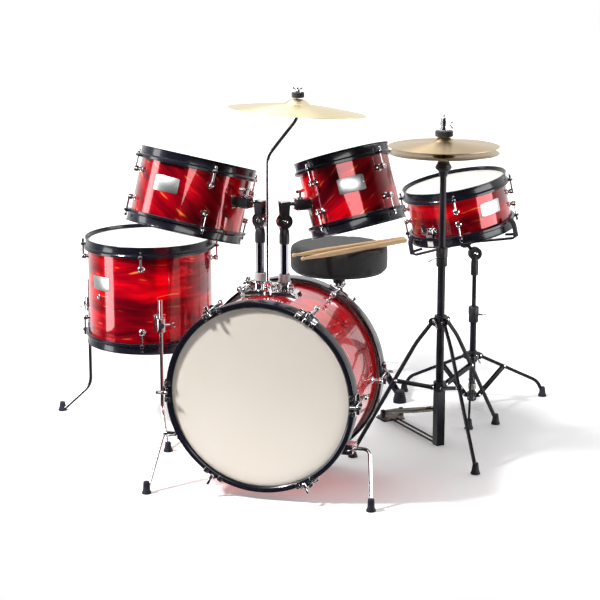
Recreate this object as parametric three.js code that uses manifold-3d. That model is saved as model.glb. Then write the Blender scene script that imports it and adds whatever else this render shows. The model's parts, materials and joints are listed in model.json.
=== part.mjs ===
// A junior five-piece drum kit: bass drum with two mounted toms and a crash cymbal, floor tom,
// snare drum on its stand, hi-hat stand with pedal, bass drum pedal, throne and two sticks.
// Millimetres, +Z up. The player sits towards +Y and the audience is towards -Y. The kit is laid
// out from the point on the floor under the front of the bass drum, and centred at the end.
import * as THREE from 'three';
import { mergeVertices } from 'three/addons/utils/BufferGeometryUtils.js';
import Module from 'manifold-3d';

const wasm = await Module();
wasm.setup();

// ---- driving dimensions ----------------------------------------------------------------------
const INCH = 25.4;
const GAP = 0.3;                 // clearance between touching pieces
const SHELL_WALL = 5;
const TOM_HOOP_HEIGHT = 27;
const TOM_HOOP_RISE = 10;        // how far a hoop stands above the bearing edge
const TOM_HOOP_REACH = 9;        // how far a hoop stands out from the shell
const HEAD_FILM = 1.2;
const BITE = 3;                  // how far a fitting is sunk into the piece that carries it
const COARSE = 6;                // sides of a thin rod
const FINE = 14;                 // sides of a tube

const BASS = {
  radius: 8 * INCH,
  length: 290,                   // over both hoops
  centreHeight: 232,
  hoopRadius: 215,
  hoopDepth: 34,
  hoopLip: 201,                  // inner radius of the hoop's front lip
  edgeInset: 10,                 // from the hoop's front to the shell's bearing edge
  lugs: 6,
  sides: 30,
};
const LEFT_TOM = {
  name: 'left_tom', radius: 5 * INCH, depth: 152, sides: 20,
  centre: [-222, 215, 635], up: [0.167, 0.213, 0.963], lugs: 4, lugAzimuth: -55.8,
};
const RIGHT_TOM = {
  name: 'right_tom', radius: 4 * INCH, depth: 152, sides: 20,
  centre: [139, 250, 655], up: [-0.288, 0.137, 0.948], lugs: 4, lugAzimuth: -117.9,
};
const FLOOR_TOM = {
  name: 'floor_tom', radius: 6 * INCH, depth: 244, sides: 22,
  centre: [-432, 500, 345], up: [0, 0, 1], lugs: 4, lugAzimuth: -77.4,
};
const SNARE = {
  name: 'snare_drum', radius: 5 * INCH, depth: 120, sides: 20,
  centre: [270, 868, 519], up: [-0.184, -0.083, 0.98], lugs: 4, lugAzimuth: -81,
};
const FLOOR_LEG = {
  radius: 4.5, reach: 20, azimuths: [-61.7, 57, 175], top: 352, bend: 78, footReach: 104,
  bracket: { height: 290, halfWidth: 12, half: 18, wall: 10 },
  foot: { height: 22, bottom: 10, top: 7 },
};
const HOLDER = {
  y: 147, left: -39, right: 17, postRadius: 9, top: 463, collarTop: 479, pivot: 598,
  collarRadius: 14, crashCollar: { radius: 8, height: 6 },
  front: 43, back: 22,           // the casting's faces, either side of the posts
};
const CRASH = {
  x: -13, y: 118, rod: 4, bend: 745, knee: [56, 118, 832], radius: 150, lean: 3.3, dip: 3.4,
  bow: 15, bell: 12, hole: 7, seat: 871, top: 899,
};
const HIHAT = {
  x: 301, y: 500, tube: 9.3, tubeTop: 455, upperTube: 7.5, upperTop: 670, rod: 3, rodTop: 801,
  radius: 130, bow: 11, bell: 10, hole: 7, lowerRim: 711.5, upperRim: 727, clutchTop: 793,
};
const SNARE_STAND = { x: 317, y: 855, tube: 8, upperTube: 5.5, pivot: 402 };
const THRONE = { x: -70, y: 970, radius: 132, top: 384, thick: 72, legReach: 250, azimuths: [-35, 85, 205] };
const PEDAL = { y: 292, axleY: 327, axleHeight: 108, beater: 128, beaterTilt: 35, heelY: 600 };

// Fold geometry of a tripod, as radius and height: the leg's top pivot, its knee, its foot, the pivot
// where the brace meets it, and the brace's own lower pivot. fold is the brace's angle when folded.
const HIHAT_TRIPOD = {
  name: 'hihat', tube: HIHAT.tube, collar: 15, width: 7,
  top: [22, 308], knee: [66, 260], foot: [228, 14], brace: [122, 175], base: [22, 147],
  azimuths: [-57, 63, 220], fold: 76,
};
const SNARE_TRIPOD = {
  name: 'snare', tube: SNARE_STAND.tube, collar: 12, width: 6,
  top: [20, 131], knee: [194, 44], foot: [209, 13], brace: [92, 95], base: [20, 25],
  azimuths: [-81.5, 38.5, 158.5], fold: 78,
};

// ---- materials -------------------------------------------------------------------------------
const finish = (color, roughness, metalness) =>
  new THREE.MeshStandardMaterial({ color, roughness, metalness });
const RED_WRAP = finish(0x9c0a14, 0.15, 0);
const BLACK_HOOP = finish(0x14141a, 0.25, 0);
const CHROME = finish(0xd8d8dc, 0.1, 1);
const BLACK_STEEL = finish(0x1c1a20, 0.4, 0.3);
const HEAD_WHITE = finish(0xf3efe4, 0.45, 0);
const CYMBAL_BRASS = finish(0xc9a75c, 0.3, 1);
const SEAT_VINYL = finish(0x1d1c1e, 0.5, 0);
const STICK_WOOD = finish(0xd9b37a, 0.5, 0);
const PEDAL_METAL = finish(0x6d6256, 0.45, 0.6);

// ---- solids ----------------------------------------------------------------------------------
const rad = THREE.MathUtils.degToRad;
const vec = (x, y, z) => new THREE.Vector3(x, y, z);
const at = (list) => vec(...list);
const polar = (radius, degrees, z = 0) =>
  vec(radius * Math.cos(rad(degrees)), radius * Math.sin(rad(degrees)), z);

function toManifold(geometry) {
  const bare = geometry.clone();
  bare.deleteAttribute('normal');
  bare.deleteAttribute('uv');
  const merged = mergeVertices(bare, 1e-4);
  const p = merged.attributes.position.array;
  const faces = [];
  let volume = 0;
  for (let i = 0; i < merged.index.count; i += 3) {
    const [a, b, c] = [0, 1, 2].map((k) => merged.index.array[i + k]);
    if (a === b || b === c || c === a) continue;
    faces.push(a, b, c);
    const [A, B, C] = [a, b, c].map((k) => vec(p[3 * k], p[3 * k + 1], p[3 * k + 2]));
    volume += A.dot(B.cross(C));
  }
  if (volume < 0) faces.reverse();
  return new wasm.Manifold(new wasm.Mesh({
    numProp: 3, vertProperties: new Float32Array(p), triVerts: new Uint32Array(faces),
  }));
}

function toGeometry(manifold) {
  const mesh = manifold.getMesh();
  const geometry = new THREE.BufferGeometry();
  geometry.setAttribute('position', new THREE.BufferAttribute(new Float32Array(mesh.vertProperties), 3));
  geometry.setIndex(new THREE.BufferAttribute(new Uint32Array(mesh.triVerts), 1));
  geometry.computeVertexNormals();
  return geometry;
}

const join = (pieces) => toGeometry(pieces.flat().map(toManifold).reduce((a, b) => a.add(b)));

const cut = (base, tools) =>
  toGeometry(tools.map(toManifold).reduce((a, b) => a.subtract(b), toManifold(base)));

// A solid of revolution about +Z from [radius, z] points that start and end on the axis or close.
function turned(profile, sides, closed = false) {
  const points = profile.map(([r, z]) => new THREE.Vector2(r, z));
  if (closed) points.push(points[0].clone());
  return join([new THREE.LatheGeometry(points, sides).rotateX(Math.PI / 2)]);
}

const ring = (outer, inner, z0, z1, sides) =>
  turned([[inner, z0], [outer, z0], [outer, z1], [inner, z1]], sides, true);

const post = (radius, z0, z1, sides = 12) =>
  new THREE.CylinderGeometry(radius, radius, z1 - z0, sides)
    .rotateX(Math.PI / 2).translate(0, 0, (z0 + z1) / 2);

function rod(from, to, radius, sides = 6, endRadius = radius) {
  const along = to.clone().sub(from);
  const turn = new THREE.Quaternion().setFromUnitVectors(vec(0, 1, 0), along.clone().normalize());
  return new THREE.CylinderGeometry(endRadius, radius, along.length(), sides)
    .applyQuaternion(turn)
    .translate(...from.clone().add(to).multiplyScalar(0.5).toArray());
}

const ball = (centre, radius) => new THREE.SphereGeometry(radius, 6, 4).translate(...centre.toArray());

const bentRod = (points, radius, sides = 6) =>
  points.slice(1).flatMap((to, i) => [
    rod(points[i], to, radius, sides),
    ...(i ? [ball(points[i], radius * 1.04)] : []),
  ]);

// A rubber foot that stands flat on the floor.
const rubberFoot = (x, y, height, bottom, top) => rod(vec(x, y, 0), vec(x, y, height), bottom, 10, top);

const box = (from, to) =>
  new THREE.BoxGeometry(to[0] - from[0], to[1] - from[1], to[2] - from[2])
    .translate((from[0] + to[0]) / 2, (from[1] + to[1]) / 2, (from[2] + to[2]) / 2);

// A plate cut from an outline of [x, z] points, standing in the X-Z plane, from y0 to y1.
function plate(outline, y0, y1) {
  const shape = new THREE.Shape(outline.map(([x, z]) => new THREE.Vector2(x, z)));
  return new THREE.ExtrudeGeometry(shape, { depth: y1 - y0, bevelEnabled: false })
    .rotateX(Math.PI / 2).translate(0, y1, 0);
}

// A bar of constant width that follows [x, z] points in the X-Z plane, from y0 to y1.
function barOutline(points, halfWidth) {
  const side = (sign) => points.map(([x, z], i) => {
    const [ax, az] = points[Math.max(i - 1, 0)];
    const [bx, bz] = points[Math.min(i + 1, points.length - 1)];
    const length = Math.hypot(bx - ax, bz - az);
    return [x - (sign * halfWidth * (bz - az)) / length, z + (sign * halfWidth * (bx - ax)) / length];
  });
  return [...side(1), ...side(-1).reverse()];
}

const turnAbout = (geometry, degrees) => geometry.rotateZ(rad(degrees));

const kit = new THREE.Group();

function add(parent, name, geometry, material) {
  const mesh = new THREE.Mesh(geometry, material);
  mesh.name = name;
  parent.add(mesh);
  return mesh;
}

function standing(x, y, parent = kit) {
  const group = new THREE.Group();
  group.position.set(x, y, 0);
  parent.add(group);
  return group;
}

// ---- drums -----------------------------------------------------------------------------------
const LUG = { belowEdge: 44, reach: 17, radius: 5.5, sides: 5 };
const TENSION_ROD = { reach: 13.5, radius: 2.8, above: 14, sides: 5 };
const EAR = { halfWidth: 6, low: 1, high: 8, root: 5 };
const HOOP_CLEARANCE = 2.4;      // between a shell and its hoop

// A tension hoop with its drumhead, ears and tension rods, for the drum's upper end.
function hoopWithHead(drum) {
  const edge = drum.depth / 2;
  const outer = drum.radius + TOM_HOOP_REACH;
  const inner = drum.radius + HOOP_CLEARANCE;
  const top = edge + TOM_HOOP_RISE;
  const low = top - TOM_HOOP_HEIGHT;
  const film = edge + GAP;
  const pieces = [turned([
    [0, film], [drum.radius + 0.8, film], [inner, low], [outer, low],
    [outer - 3, top], [inner + 1, top], [inner - 3, film + HEAD_FILM], [0, film + HEAD_FILM],
  ], drum.sides)];
  for (let i = 0; i < drum.lugs; i += 1) {
    const azimuth = drum.lugAzimuth - (drum.swing ?? 0) + (360 / drum.lugs) * i;
    const rodAt = (z) => polar(drum.radius + TENSION_ROD.reach, azimuth, z);
    const ear = box([outer - EAR.root, -EAR.halfWidth, low + EAR.low],
      [drum.radius + LUG.reach, EAR.halfWidth, low + EAR.high]);
    const foot = edge - LUG.belowEdge + LUG.radius + GAP;
    pieces.push(
      turnAbout(ear, azimuth),
      rod(rodAt(foot), rodAt(low + TENSION_ROD.above), TENSION_ROD.radius, TENSION_ROD.sides),
    );
  }
  return join(pieces);
}

function drumShell(drum, extras = []) {
  const edge = drum.depth / 2;
  const pieces = [ring(drum.radius, drum.radius - SHELL_WALL, -edge, edge, drum.sides)];
  for (let i = 0; i < drum.lugs; i += 1) {
    const azimuth = drum.lugAzimuth + (360 / drum.lugs) * i;
    for (const z of [edge - LUG.belowEdge, LUG.belowEdge - edge]) {
      const [root, tip] = [drum.radius - BITE, drum.radius + LUG.reach].map((r) => polar(r, azimuth, z));
      pieces.push(rod(root, tip, LUG.radius, LUG.sides));
    }
  }
  return join([...pieces, ...extras]);
}

function addDrum(drum, extras = [], parent = kit) {
  const group = new THREE.Group();
  group.position.set(...drum.centre);
  group.quaternion.setFromUnitVectors(vec(0, 0, 1), at(drum.up).normalize());
  parent.add(group);
  group.updateMatrixWorld(true);
  add(group, `${drum.name}_shell`, drumShell(drum, extras), RED_WRAP);
  add(group, `${drum.name}_batter_hoop`, hoopWithHead(drum), BLACK_HOOP);
  const lower = hoopWithHead({ ...drum, swing: 2 * drum.lugAzimuth });
  const under = add(group, `${drum.name}_bottom_hoop`, lower, BLACK_HOOP);
  under.rotation.x = Math.PI;
  return group;
}

// ---- bass drum -------------------------------------------------------------------------------
// Built about +Z and turned so that its axis runs front to back.
const bass = new THREE.Group();
bass.position.set(0, BASS.length / 2, BASS.centreHeight);
bass.rotation.x = Math.PI / 2;      // local +Z is the audience side, local +Y is up
kit.add(bass);
const bassEdge = BASS.length / 2 - BASS.edgeInset;
const bassFace = BASS.length / 2;
const CLAW = { reach: 11, root: 4, halfWidth: 17, depth: 22, lip: 3 };
const BASS_LUG = { offset: 70, radius: 6.5, sides: 8 };   // offset from the middle of the shell
const T_ROD = { reach: BASS.hoopRadius + 5, radius: 3, end: 12, sides: 5 };
const T_BAR = { half: 11, thick: 3, low: 8, high: 14 };
const HOOP_STEP = { clearance: 6.6, lip: 6 };
const COLLAR = { reach: 6, depth: 9 };                    // the rim of a bass drumhead

function bassHoop() {
  const back = bassFace - BASS.hoopDepth;
  const inside = BASS.radius + HOOP_STEP.clearance;
  const step = bassFace - HOOP_STEP.lip;
  const pieces = [turned([
    [BASS.hoopLip, bassFace], [BASS.hoopRadius, bassFace], [BASS.hoopRadius, back],
    [inside, back], [inside, step], [BASS.hoopLip, step],
  ], BASS.sides, true)];
  for (let i = 0; i < BASS.lugs; i += 1) {
    const azimuth = (360 / BASS.lugs) * i;
    const claw = box([BASS.hoopRadius - CLAW.root, -CLAW.halfWidth, bassFace - CLAW.depth],
      [BASS.hoopRadius + CLAW.reach, CLAW.halfWidth, bassFace + CLAW.lip]);
    const bar = box([T_ROD.reach - T_BAR.thick, -T_BAR.half, bassFace + T_BAR.low],
      [T_ROD.reach + T_BAR.thick, T_BAR.half, bassFace + T_BAR.high]);
    const start = polar(T_ROD.reach, azimuth, BASS_LUG.offset + BASS_LUG.radius + GAP);
    pieces.push(
      turnAbout(claw, azimuth),
      rod(start, polar(T_ROD.reach, azimuth, bassFace + T_ROD.end), T_ROD.radius, T_ROD.sides),
      turnAbout(bar, azimuth),
    );
  }
  return join(pieces);
}

function bassHead() {
  const film = bassEdge + GAP;
  const inside = BASS.radius + GAP;
  const outside = BASS.radius + COLLAR.reach;
  return turned([
    [0, film], [inside, film], [inside, film - COLLAR.depth], [outside, film - COLLAR.depth],
    [outside, film + HEAD_FILM], [0, film + HEAD_FILM],
  ], BASS.sides);
}

const SPUR = {
  y: 50, height: 122, bracketX: 168, collarX: 205, half: [16, 15], bore: [176, 230], end: 178,
  elbow: 238, footX: 254, footY: { left: -24, right: -2 }, radius: 4.5,
  foot: { height: 26, bottom: 9, top: 6.5 },
};
const toBassLocal = (geometry) =>
  geometry.clone().translate(0, -BASS.length / 2, -BASS.centreHeight).rotateX(-Math.PI / 2);
const bassCylinder = (radius) =>
  rod(vec(0, 0, BASS.centreHeight), vec(0, BASS.length, BASS.centreHeight), radius, BASS.sides);

// The block on the shell that clamps a spur, with a bore along X for the spur's straight end.
function spurBracket(side) {
  const [near, far] = [side * SPUR.bracketX, side * SPUR.collarX].sort((a, b) => a - b);
  const [halfY, halfZ] = SPUR.half;
  const block = box([near, SPUR.y - halfY, SPUR.height - halfZ], [far, SPUR.y + halfY, SPUR.height + halfZ]);
  const [from, to] = SPUR.bore.map((x) => vec(side * x, SPUR.y, SPUR.height));
  return cut(block, [rod(from, to, SPUR.radius + 3 * GAP)]);
}

const bassLugs = Array.from({ length: BASS.lugs }, (_, i) => [-BASS_LUG.offset, BASS_LUG.offset].map((z) => {
  const azimuth = (360 / BASS.lugs) * i;
  const [root, tip] = [BASS.radius - BITE, BASS.hoopRadius + CLAW.reach].map((r) => polar(r, azimuth, z));
  return rod(root, tip, BASS_LUG.radius, BASS_LUG.sides);
})).flat();

add(bass, 'bass_drum_shell', join([
  ring(BASS.radius, BASS.radius - SHELL_WALL, -bassEdge, bassEdge, BASS.sides),
  ...bassLugs,
  ...[-1, 1].map((side) => toBassLocal(cut(spurBracket(side), [bassCylinder(BASS.radius - BITE)]))),
]), RED_WRAP);
for (const [label, turn] of [['front', 0], ['rear', Math.PI]]) {
  add(bass, `bass_${label}_hoop`, bassHoop(), BLACK_HOOP).rotation.x = turn;
  const head = label === 'front' ? 'bass_front_head' : 'bass_batter_head';
  add(bass, head, bassHead(), HEAD_WHITE).rotation.x = turn;
}

function spur(side) {
  const elbow = vec(side * SPUR.elbow, SPUR.y, SPUR.height);
  const foot = vec(side * SPUR.footX, side < 0 ? SPUR.footY.left : SPUR.footY.right, 0);
  const bend = [elbow.clone().setX(side * (SPUR.elbow - 8)), elbow.clone().add(vec(side * 2, -4, -9))];
  return join([
    ...bentRod([elbow.clone().setX(side * SPUR.end), ...bend, foot.clone().lerp(elbow, 0.1)], SPUR.radius),
    rubberFoot(foot.x, foot.y, SPUR.foot.height, SPUR.foot.bottom, SPUR.foot.top),
  ]);
}
add(kit, 'left_spur', spur(-1), CHROME);
add(kit, 'right_spur', spur(1), CHROME);

// ---- tom holder ------------------------------------------------------------------------------
const SHELL_TOP = BASS.centreHeight + BASS.radius;
const holderOutline = [[-92, SHELL_TOP - 32], [52, SHELL_TOP - 20], [42, HOLDER.top], [-66, HOLDER.top]];
const holderBody = plate(holderOutline, HOLDER.y - HOLDER.front, HOLDER.y + HOLDER.back);
const holderCollar = (x, y, radius, top) => post(radius, HOLDER.top - 2, top).translate(x, y, 0);
const holderSocket = (x, y, radius) => post(radius, SHELL_TOP + 4, HOLDER.collarTop + 9).translate(x, y, 0);
const postPlaces = [HOLDER.left, HOLDER.right];
add(kit, 'tom_holder', cut(join([
  holderBody,
  ...postPlaces.map((x) => holderCollar(x, HOLDER.y, HOLDER.collarRadius, HOLDER.collarTop)),
  holderCollar(CRASH.x, CRASH.y, HOLDER.crashCollar.radius, HOLDER.top + HOLDER.crashCollar.height),
]), [
  bassCylinder(BASS.radius + 5 * GAP),
  ...postPlaces.map((x) => holderSocket(x, HOLDER.y, HOLDER.postRadius + 2 * GAP)),
  holderSocket(CRASH.x, CRASH.y, CRASH.rod + GAP),
]), CHROME);

// ---- crash cymbal ----------------------------------------------------------------------------
const POST_END = SHELL_TOP + 6;  // where the posts and the crash rod end in the holder
const LOWER_FELT = { radius: 9, low: CRASH.seat - 14, high: CRASH.seat - 3.5 };
const UPPER_FELT = { radius: 12, low: CRASH.seat + 5, high: CRASH.seat + 17 };
const WING_NUT = { span: 14, thick: 3, low: CRASH.top - 12, high: CRASH.top - 3 };
const [kneeX, kneeY] = CRASH.knee;
const crashKnee = at(CRASH.knee);
add(kit, 'crash_rod', join([
  ...bentRod([vec(CRASH.x, CRASH.y, POST_END), vec(CRASH.x, CRASH.y, CRASH.bend), crashKnee,
    crashKnee.clone().setZ(CRASH.top)], CRASH.rod),
  post(LOWER_FELT.radius, LOWER_FELT.low, LOWER_FELT.high).translate(kneeX, kneeY, 0),
  post(UPPER_FELT.radius, UPPER_FELT.low, UPPER_FELT.high).translate(kneeX, kneeY, 0),
  box([kneeX - WING_NUT.span, kneeY - WING_NUT.thick, WING_NUT.low],
    [kneeX + WING_NUT.span, kneeY + WING_NUT.thick, WING_NUT.high]),
]), CHROME);

// A cymbal: a shallow bow, a raised bell and a hole, with its rim at z = 0.
function cymbal({ radius, bow, bell, hole }) {
  const skin = 1.6;
  const upper = [[hole, bow + bell], [0.12 * radius, bow + bell - 2], [0.19 * radius, bow], [radius, 0.4]];
  const lower = [...upper].reverse().map(([r, z]) => [r, z - skin]);
  return turned([...upper, ...lower], 20, true);
}
const crash = standing(kneeX, CRASH.y);
const crashMesh = add(crash, 'crash_cymbal', cymbal(CRASH), CYMBAL_BRASS);
const crashRise = CRASH.bow + CRASH.bell;
crashMesh.rotation.set(-rad(CRASH.dip), rad(CRASH.lean), 0);
crashMesh.position.set(0, 0, -crashRise).applyEuler(crashMesh.rotation).add(vec(0, 0, CRASH.seat + 6 * GAP));

// ---- mounted toms ----------------------------------------------------------------------------
// A tom hangs on a horizontal arm. The arm's neck ends in one half of a ratchet, and the post that
// stands in the holder carries the other half.
const TILTER = {
  disc: 17, thick: 8.8, sides: 16, armRadius: 4.5, armLift: 38, sleeve: 11.5,
  blockLength: 42, blockGap: 26, blockRoot: 16, blockHalf: [14, 13],
};

// Where a tom's block meets its shell, and the flat direction from there to its post.
function tomMount(drum, postX) {
  const pivot = vec(postX, HOLDER.y, HOLDER.pivot);
  const armHeight = HOLDER.pivot + TILTER.armLift;
  const centre = at(drum.centre);
  const up = at(drum.up).normalize();
  const axisPoint = centre.clone().addScaledVector(up, (armHeight - centre.z) / up.z);
  const outward = pivot.clone().sub(axisPoint).setZ(0);
  const reach = outward.length();
  outward.normalize();
  return {
    pivot, armHeight, outward,
    azimuth: THREE.MathUtils.radToDeg(Math.atan2(outward.y, outward.x)),
    room: reach - drum.radius,
  };
}

function addTom(drum, postX) {
  const { pivot, azimuth, room } = tomMount(drum, postX);
  // Pieces are laid out from the pivot, +X away from the drum, then turned into place.
  const place = (geometry) => geometry.rotateZ(rad(azimuth)).translate(...pivot.toArray());
  const { armLift, armRadius, disc, thick, sides, sleeve, blockRoot } = TILTER;
  const [blockY, blockZ] = TILTER.blockHalf;
  const shellAt = -room;
  const blockEnd = Math.max(shellAt + TILTER.blockLength, 0) > -TILTER.blockGap
    ? -TILTER.blockGap : shellAt + TILTER.blockLength;
  const stance = new THREE.Quaternion().setFromUnitVectors(vec(0, 0, 1), at(drum.up).normalize());
  const drumFrame = new THREE.Matrix4().compose(at(drum.centre), stance, vec(1, 1, 1));
  const block = box([shellAt - blockRoot, -blockY, armLift - blockZ], [blockEnd, blockY, armLift + blockZ]);
  const bore = rod(vec(shellAt + 3, 0, armLift), vec(blockEnd + 9, 0, armLift), armRadius + GAP);
  const boss = place(cut(block, [bore]));
  const hollow = post(drum.radius - BITE, -70, 70, drum.sides);
  addDrum(drum, [cut(boss.applyMatrix4(drumFrame.invert()), [hollow])]);

  add(kit, `${drum.name}_arm`, place(join([
    rod(vec(shellAt + 5, 0, armLift), vec(8, 0, armLift), armRadius),
    box([-10, -8, disc + 1], [10, 8, armLift + 7]),
    box([-10, GAP, 0], [10, thick, disc + 4]),
    rod(vec(0, GAP, 0), vec(0, thick, 0), disc, sides),
  ])), CHROME);
  add(kit, `${drum.name}_post`, place(join([
    post(HOLDER.postRadius, POST_END - HOLDER.pivot, -disc - 2),
    post(sleeve, -disc - 32, -disc - 1.5),
    box([-7, -thick, -disc - 4], [7, -GAP, 0]),
    rod(vec(0, -thick, 0), vec(0, -GAP, 0), disc, sides),
  ])), BLACK_STEEL);
  return tomMount(drum, postX);
}
const leftMount = addTom(LEFT_TOM, HOLDER.left);
const rightMount = addTom(RIGHT_TOM, HOLDER.right);

// ---- floor tom -------------------------------------------------------------------------------
const legRadius = FLOOR_TOM.radius + FLOOR_LEG.reach;
const legBrackets = FLOOR_LEG.azimuths.map((azimuth) => {
  const { height, halfWidth, half, wall } = FLOOR_LEG.bracket;
  const middle = height - FLOOR_TOM.centre[2];
  const block = box([FLOOR_TOM.radius - BITE, -halfWidth, middle - half],
    [legRadius + wall, halfWidth, middle + half]);
  const bore = post(FLOOR_LEG.radius + GAP, middle - 30, middle + 30).translate(legRadius, 0, 0);
  return turnAbout(cut(block, [bore]), azimuth);
});
addDrum(FLOOR_TOM, legBrackets);
const floorTom = standing(FLOOR_TOM.centre[0], FLOOR_TOM.centre[1]);
FLOOR_LEG.azimuths.forEach((azimuth, i) => {
  const knee = polar(legRadius, azimuth, FLOOR_LEG.bend);
  const foot = polar(FLOOR_TOM.radius + FLOOR_LEG.footReach, azimuth, 0);
  const ankle = foot.clone().lerp(knee, 0.12);
  add(floorTom, `floor_tom_leg_${i + 1}`, join([
    ...bentRod([polar(legRadius, azimuth, FLOOR_LEG.top), knee, ankle], FLOOR_LEG.radius),
    rubberFoot(foot.x, foot.y, FLOOR_LEG.foot.height, FLOOR_LEG.foot.bottom, FLOOR_LEG.foot.top),
  ]), CHROME);
});

// ---- tripods ---------------------------------------------------------------------------------
const STRAP = { thick: 2.2, half: 4.5, over: [4, 5], spacer: [15, 21], spacerHalf: 4 };
const CHEEK = { thick: 2.4, half: 9, beyond: 6 };
const LEG_BAR = { half: 4.2, toe: 2, shoe: { rise: 14, bottom: 11, top: 7.5 } };
const TRIPOD_BASE = { half: 12, tongue: 1.2, tongueHalf: 6, beyond: 5 };
const TRIPOD_COLLAR_HALF = 14;

function ears(tripod, pivot) {
  const inner = tripod.width / 2 + GAP;
  return tripod.azimuths.flatMap((azimuth) => [-1, 1].map((side) => {
    const [low, high] = [side * inner, side * (inner + CHEEK.thick)].sort((a, b) => a - b);
    return turnAbout(box([tripod.collar - 4, low, pivot[1] - CHEEK.half],
      [pivot[0] + CHEEK.beyond, high, pivot[1] + CHEEK.half]), azimuth);
  }));
}

// The sliding collar that the legs hang from.
function tripodCollar(tripod) {
  const height = tripod.top[1];
  return join([
    ring(tripod.collar, tripod.tube + GAP, height - TRIPOD_COLLAR_HALF, height + TRIPOD_COLLAR_HALF, 16),
    ...ears(tripod, tripod.top),
  ]);
}

// The fixed collar that the braces hang from: one lug for each brace.
function tripodBase(tripod) {
  const [reach, height] = tripod.base;
  const half = tripod.width / 2 - TRIPOD_BASE.tongue;
  return [
    post(tripod.collar, height - TRIPOD_BASE.half, height + TRIPOD_BASE.half),
    ...tripod.azimuths.map((azimuth) => turnAbout(
      box([tripod.collar - 4, -half, height - TRIPOD_BASE.tongueHalf],
        [reach + TRIPOD_BASE.beyond, half, height + TRIPOD_BASE.tongueHalf]), azimuth)),
  ];
}

function tripodLeg(tripod) {
  const [footR, footZ] = tripod.foot;
  const half = tripod.width / 2;
  const { rise, bottom, top } = LEG_BAR.shoe;
  return join([
    plate(barOutline([tripod.top, tripod.knee, tripod.foot], LEG_BAR.half), -half, half),
    rubberFoot(footR + LEG_BAR.toe, 0, footZ + rise, bottom, top),
  ]);
}

// A brace: two straps either side of the leg, joined by a spacer near the lower collar.
function tripodBrace(tripod) {
  const inner = tripod.width / 2 + GAP;
  const [bx, bz] = tripod.base;
  const [mx, mz] = tripod.brace;
  const length = Math.hypot(mx - bx, mz - bz);
  const along = (d) => [bx + (d * (mx - bx)) / length, bz + (d * (mz - bz)) / length];
  const [before, after] = STRAP.over;
  const strap = barOutline([along(-before), along(length + after)], STRAP.half);
  const spacer = barOutline(STRAP.spacer.map(along), STRAP.spacerHalf);
  return join([
    ...[-inner - STRAP.thick, inner].map((y) => plate(strap, y, y + STRAP.thick)),
    plate(spacer, -inner - 0.5, inner + 0.5),
  ]);
}

function addTripod(parent, tripod) {
  add(parent, `${tripod.name}_tripod_collar`, tripodCollar(tripod), BLACK_STEEL);
  tripod.azimuths.forEach((azimuth, i) => {
    add(parent, `${tripod.name}_leg_${i + 1}`, turnAbout(tripodLeg(tripod), azimuth), BLACK_STEEL);
    add(parent, `${tripod.name}_brace_${i + 1}`, turnAbout(tripodBrace(tripod), azimuth), BLACK_STEEL);
  });
}

// ---- hi-hat ----------------------------------------------------------------------------------
const hihat = standing(HIHAT.x, HIHAT.y);
const HEEL = {
  azimuth: 131.8, distance: 232, pivotHeight: 22, toeHeight: 84, width: 34, eyeHalf: 21.4,
  plate: { half: 30, front: 14, back: 22, height: 12 },
  cheek: { half: 6, inner: 22, low: 10, above: 4 },
};
const CHANNEL = { half: 10.5, wall: 3, height: 140, floor: 4 };
const RADIUS_ROD = { width: 5, low: 2, high: 8 };
const HEIGHT_CLAMP = { radius: 14, low: 441, high: 487 };
const CYMBAL_SEAT = [[0, 658], [9, 658], [18, 674], [18, 685], [14, 689.9], [0, 689.9]];
const heelWard = (geometry) => turnAbout(geometry, HEEL.azimuth);

// The channel at the foot of the stand, open towards the footboard.
function hihatChannel() {
  const { half, wall, height, floor } = CHANNEL;
  return [
    box([-half, -half, 0], [wall - half, half, height]),
    box([-half, -half, 0], [half, wall - half, height]),
    box([-half, half - wall, 0], [half, half, height]),
    box([-half, -half, 0], [half, half, floor]),
  ];
}

// The radius rods along the floor, and the heel plate with its two cheeks.
function hihatHeel() {
  const { distance, pivotHeight, plate: foot, cheek } = HEEL;
  const { width, low, high } = RADIUS_ROD;
  const rods = [-CHANNEL.half, CHANNEL.half - width].map((y) =>
    box([CHANNEL.half - 3, y, low], [distance - 12, y + width, high]));
  const cheeks = [-foot.half, cheek.inner].map((y) => box([distance - cheek.half, y, cheek.low],
    [distance + cheek.half, y + foot.half - cheek.inner, pivotHeight + cheek.above]));
  return [
    ...rods,
    box([distance - foot.front, -foot.half, 0], [distance + foot.back, foot.half, foot.height]),
    ...cheeks,
  ];
}

addTripod(hihat, HIHAT_TRIPOD);
add(hihat, 'hihat_stand', join([
  ...hihatChannel().map(heelWard),
  // lower collar, tubes, height clamp and cymbal seat, all bored for the pull rod
  cut(join([
    ...tripodBase(HIHAT_TRIPOD),
    post(HIHAT.tube, HIHAT_TRIPOD.base[1], HIHAT.tubeTop, FINE),
    post(HEIGHT_CLAMP.radius, HEIGHT_CLAMP.low, HEIGHT_CLAMP.high, FINE),
    post(HIHAT.upperTube, HIHAT.tubeTop + 25, HIHAT.upperTop, FINE),
    turned(CYMBAL_SEAT, FINE),
  ]), [post(HIHAT.rod + 4 * GAP, 100, 720, 8)]),
  ...hihatHeel().map(heelWard),
]), BLACK_STEEL);

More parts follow.
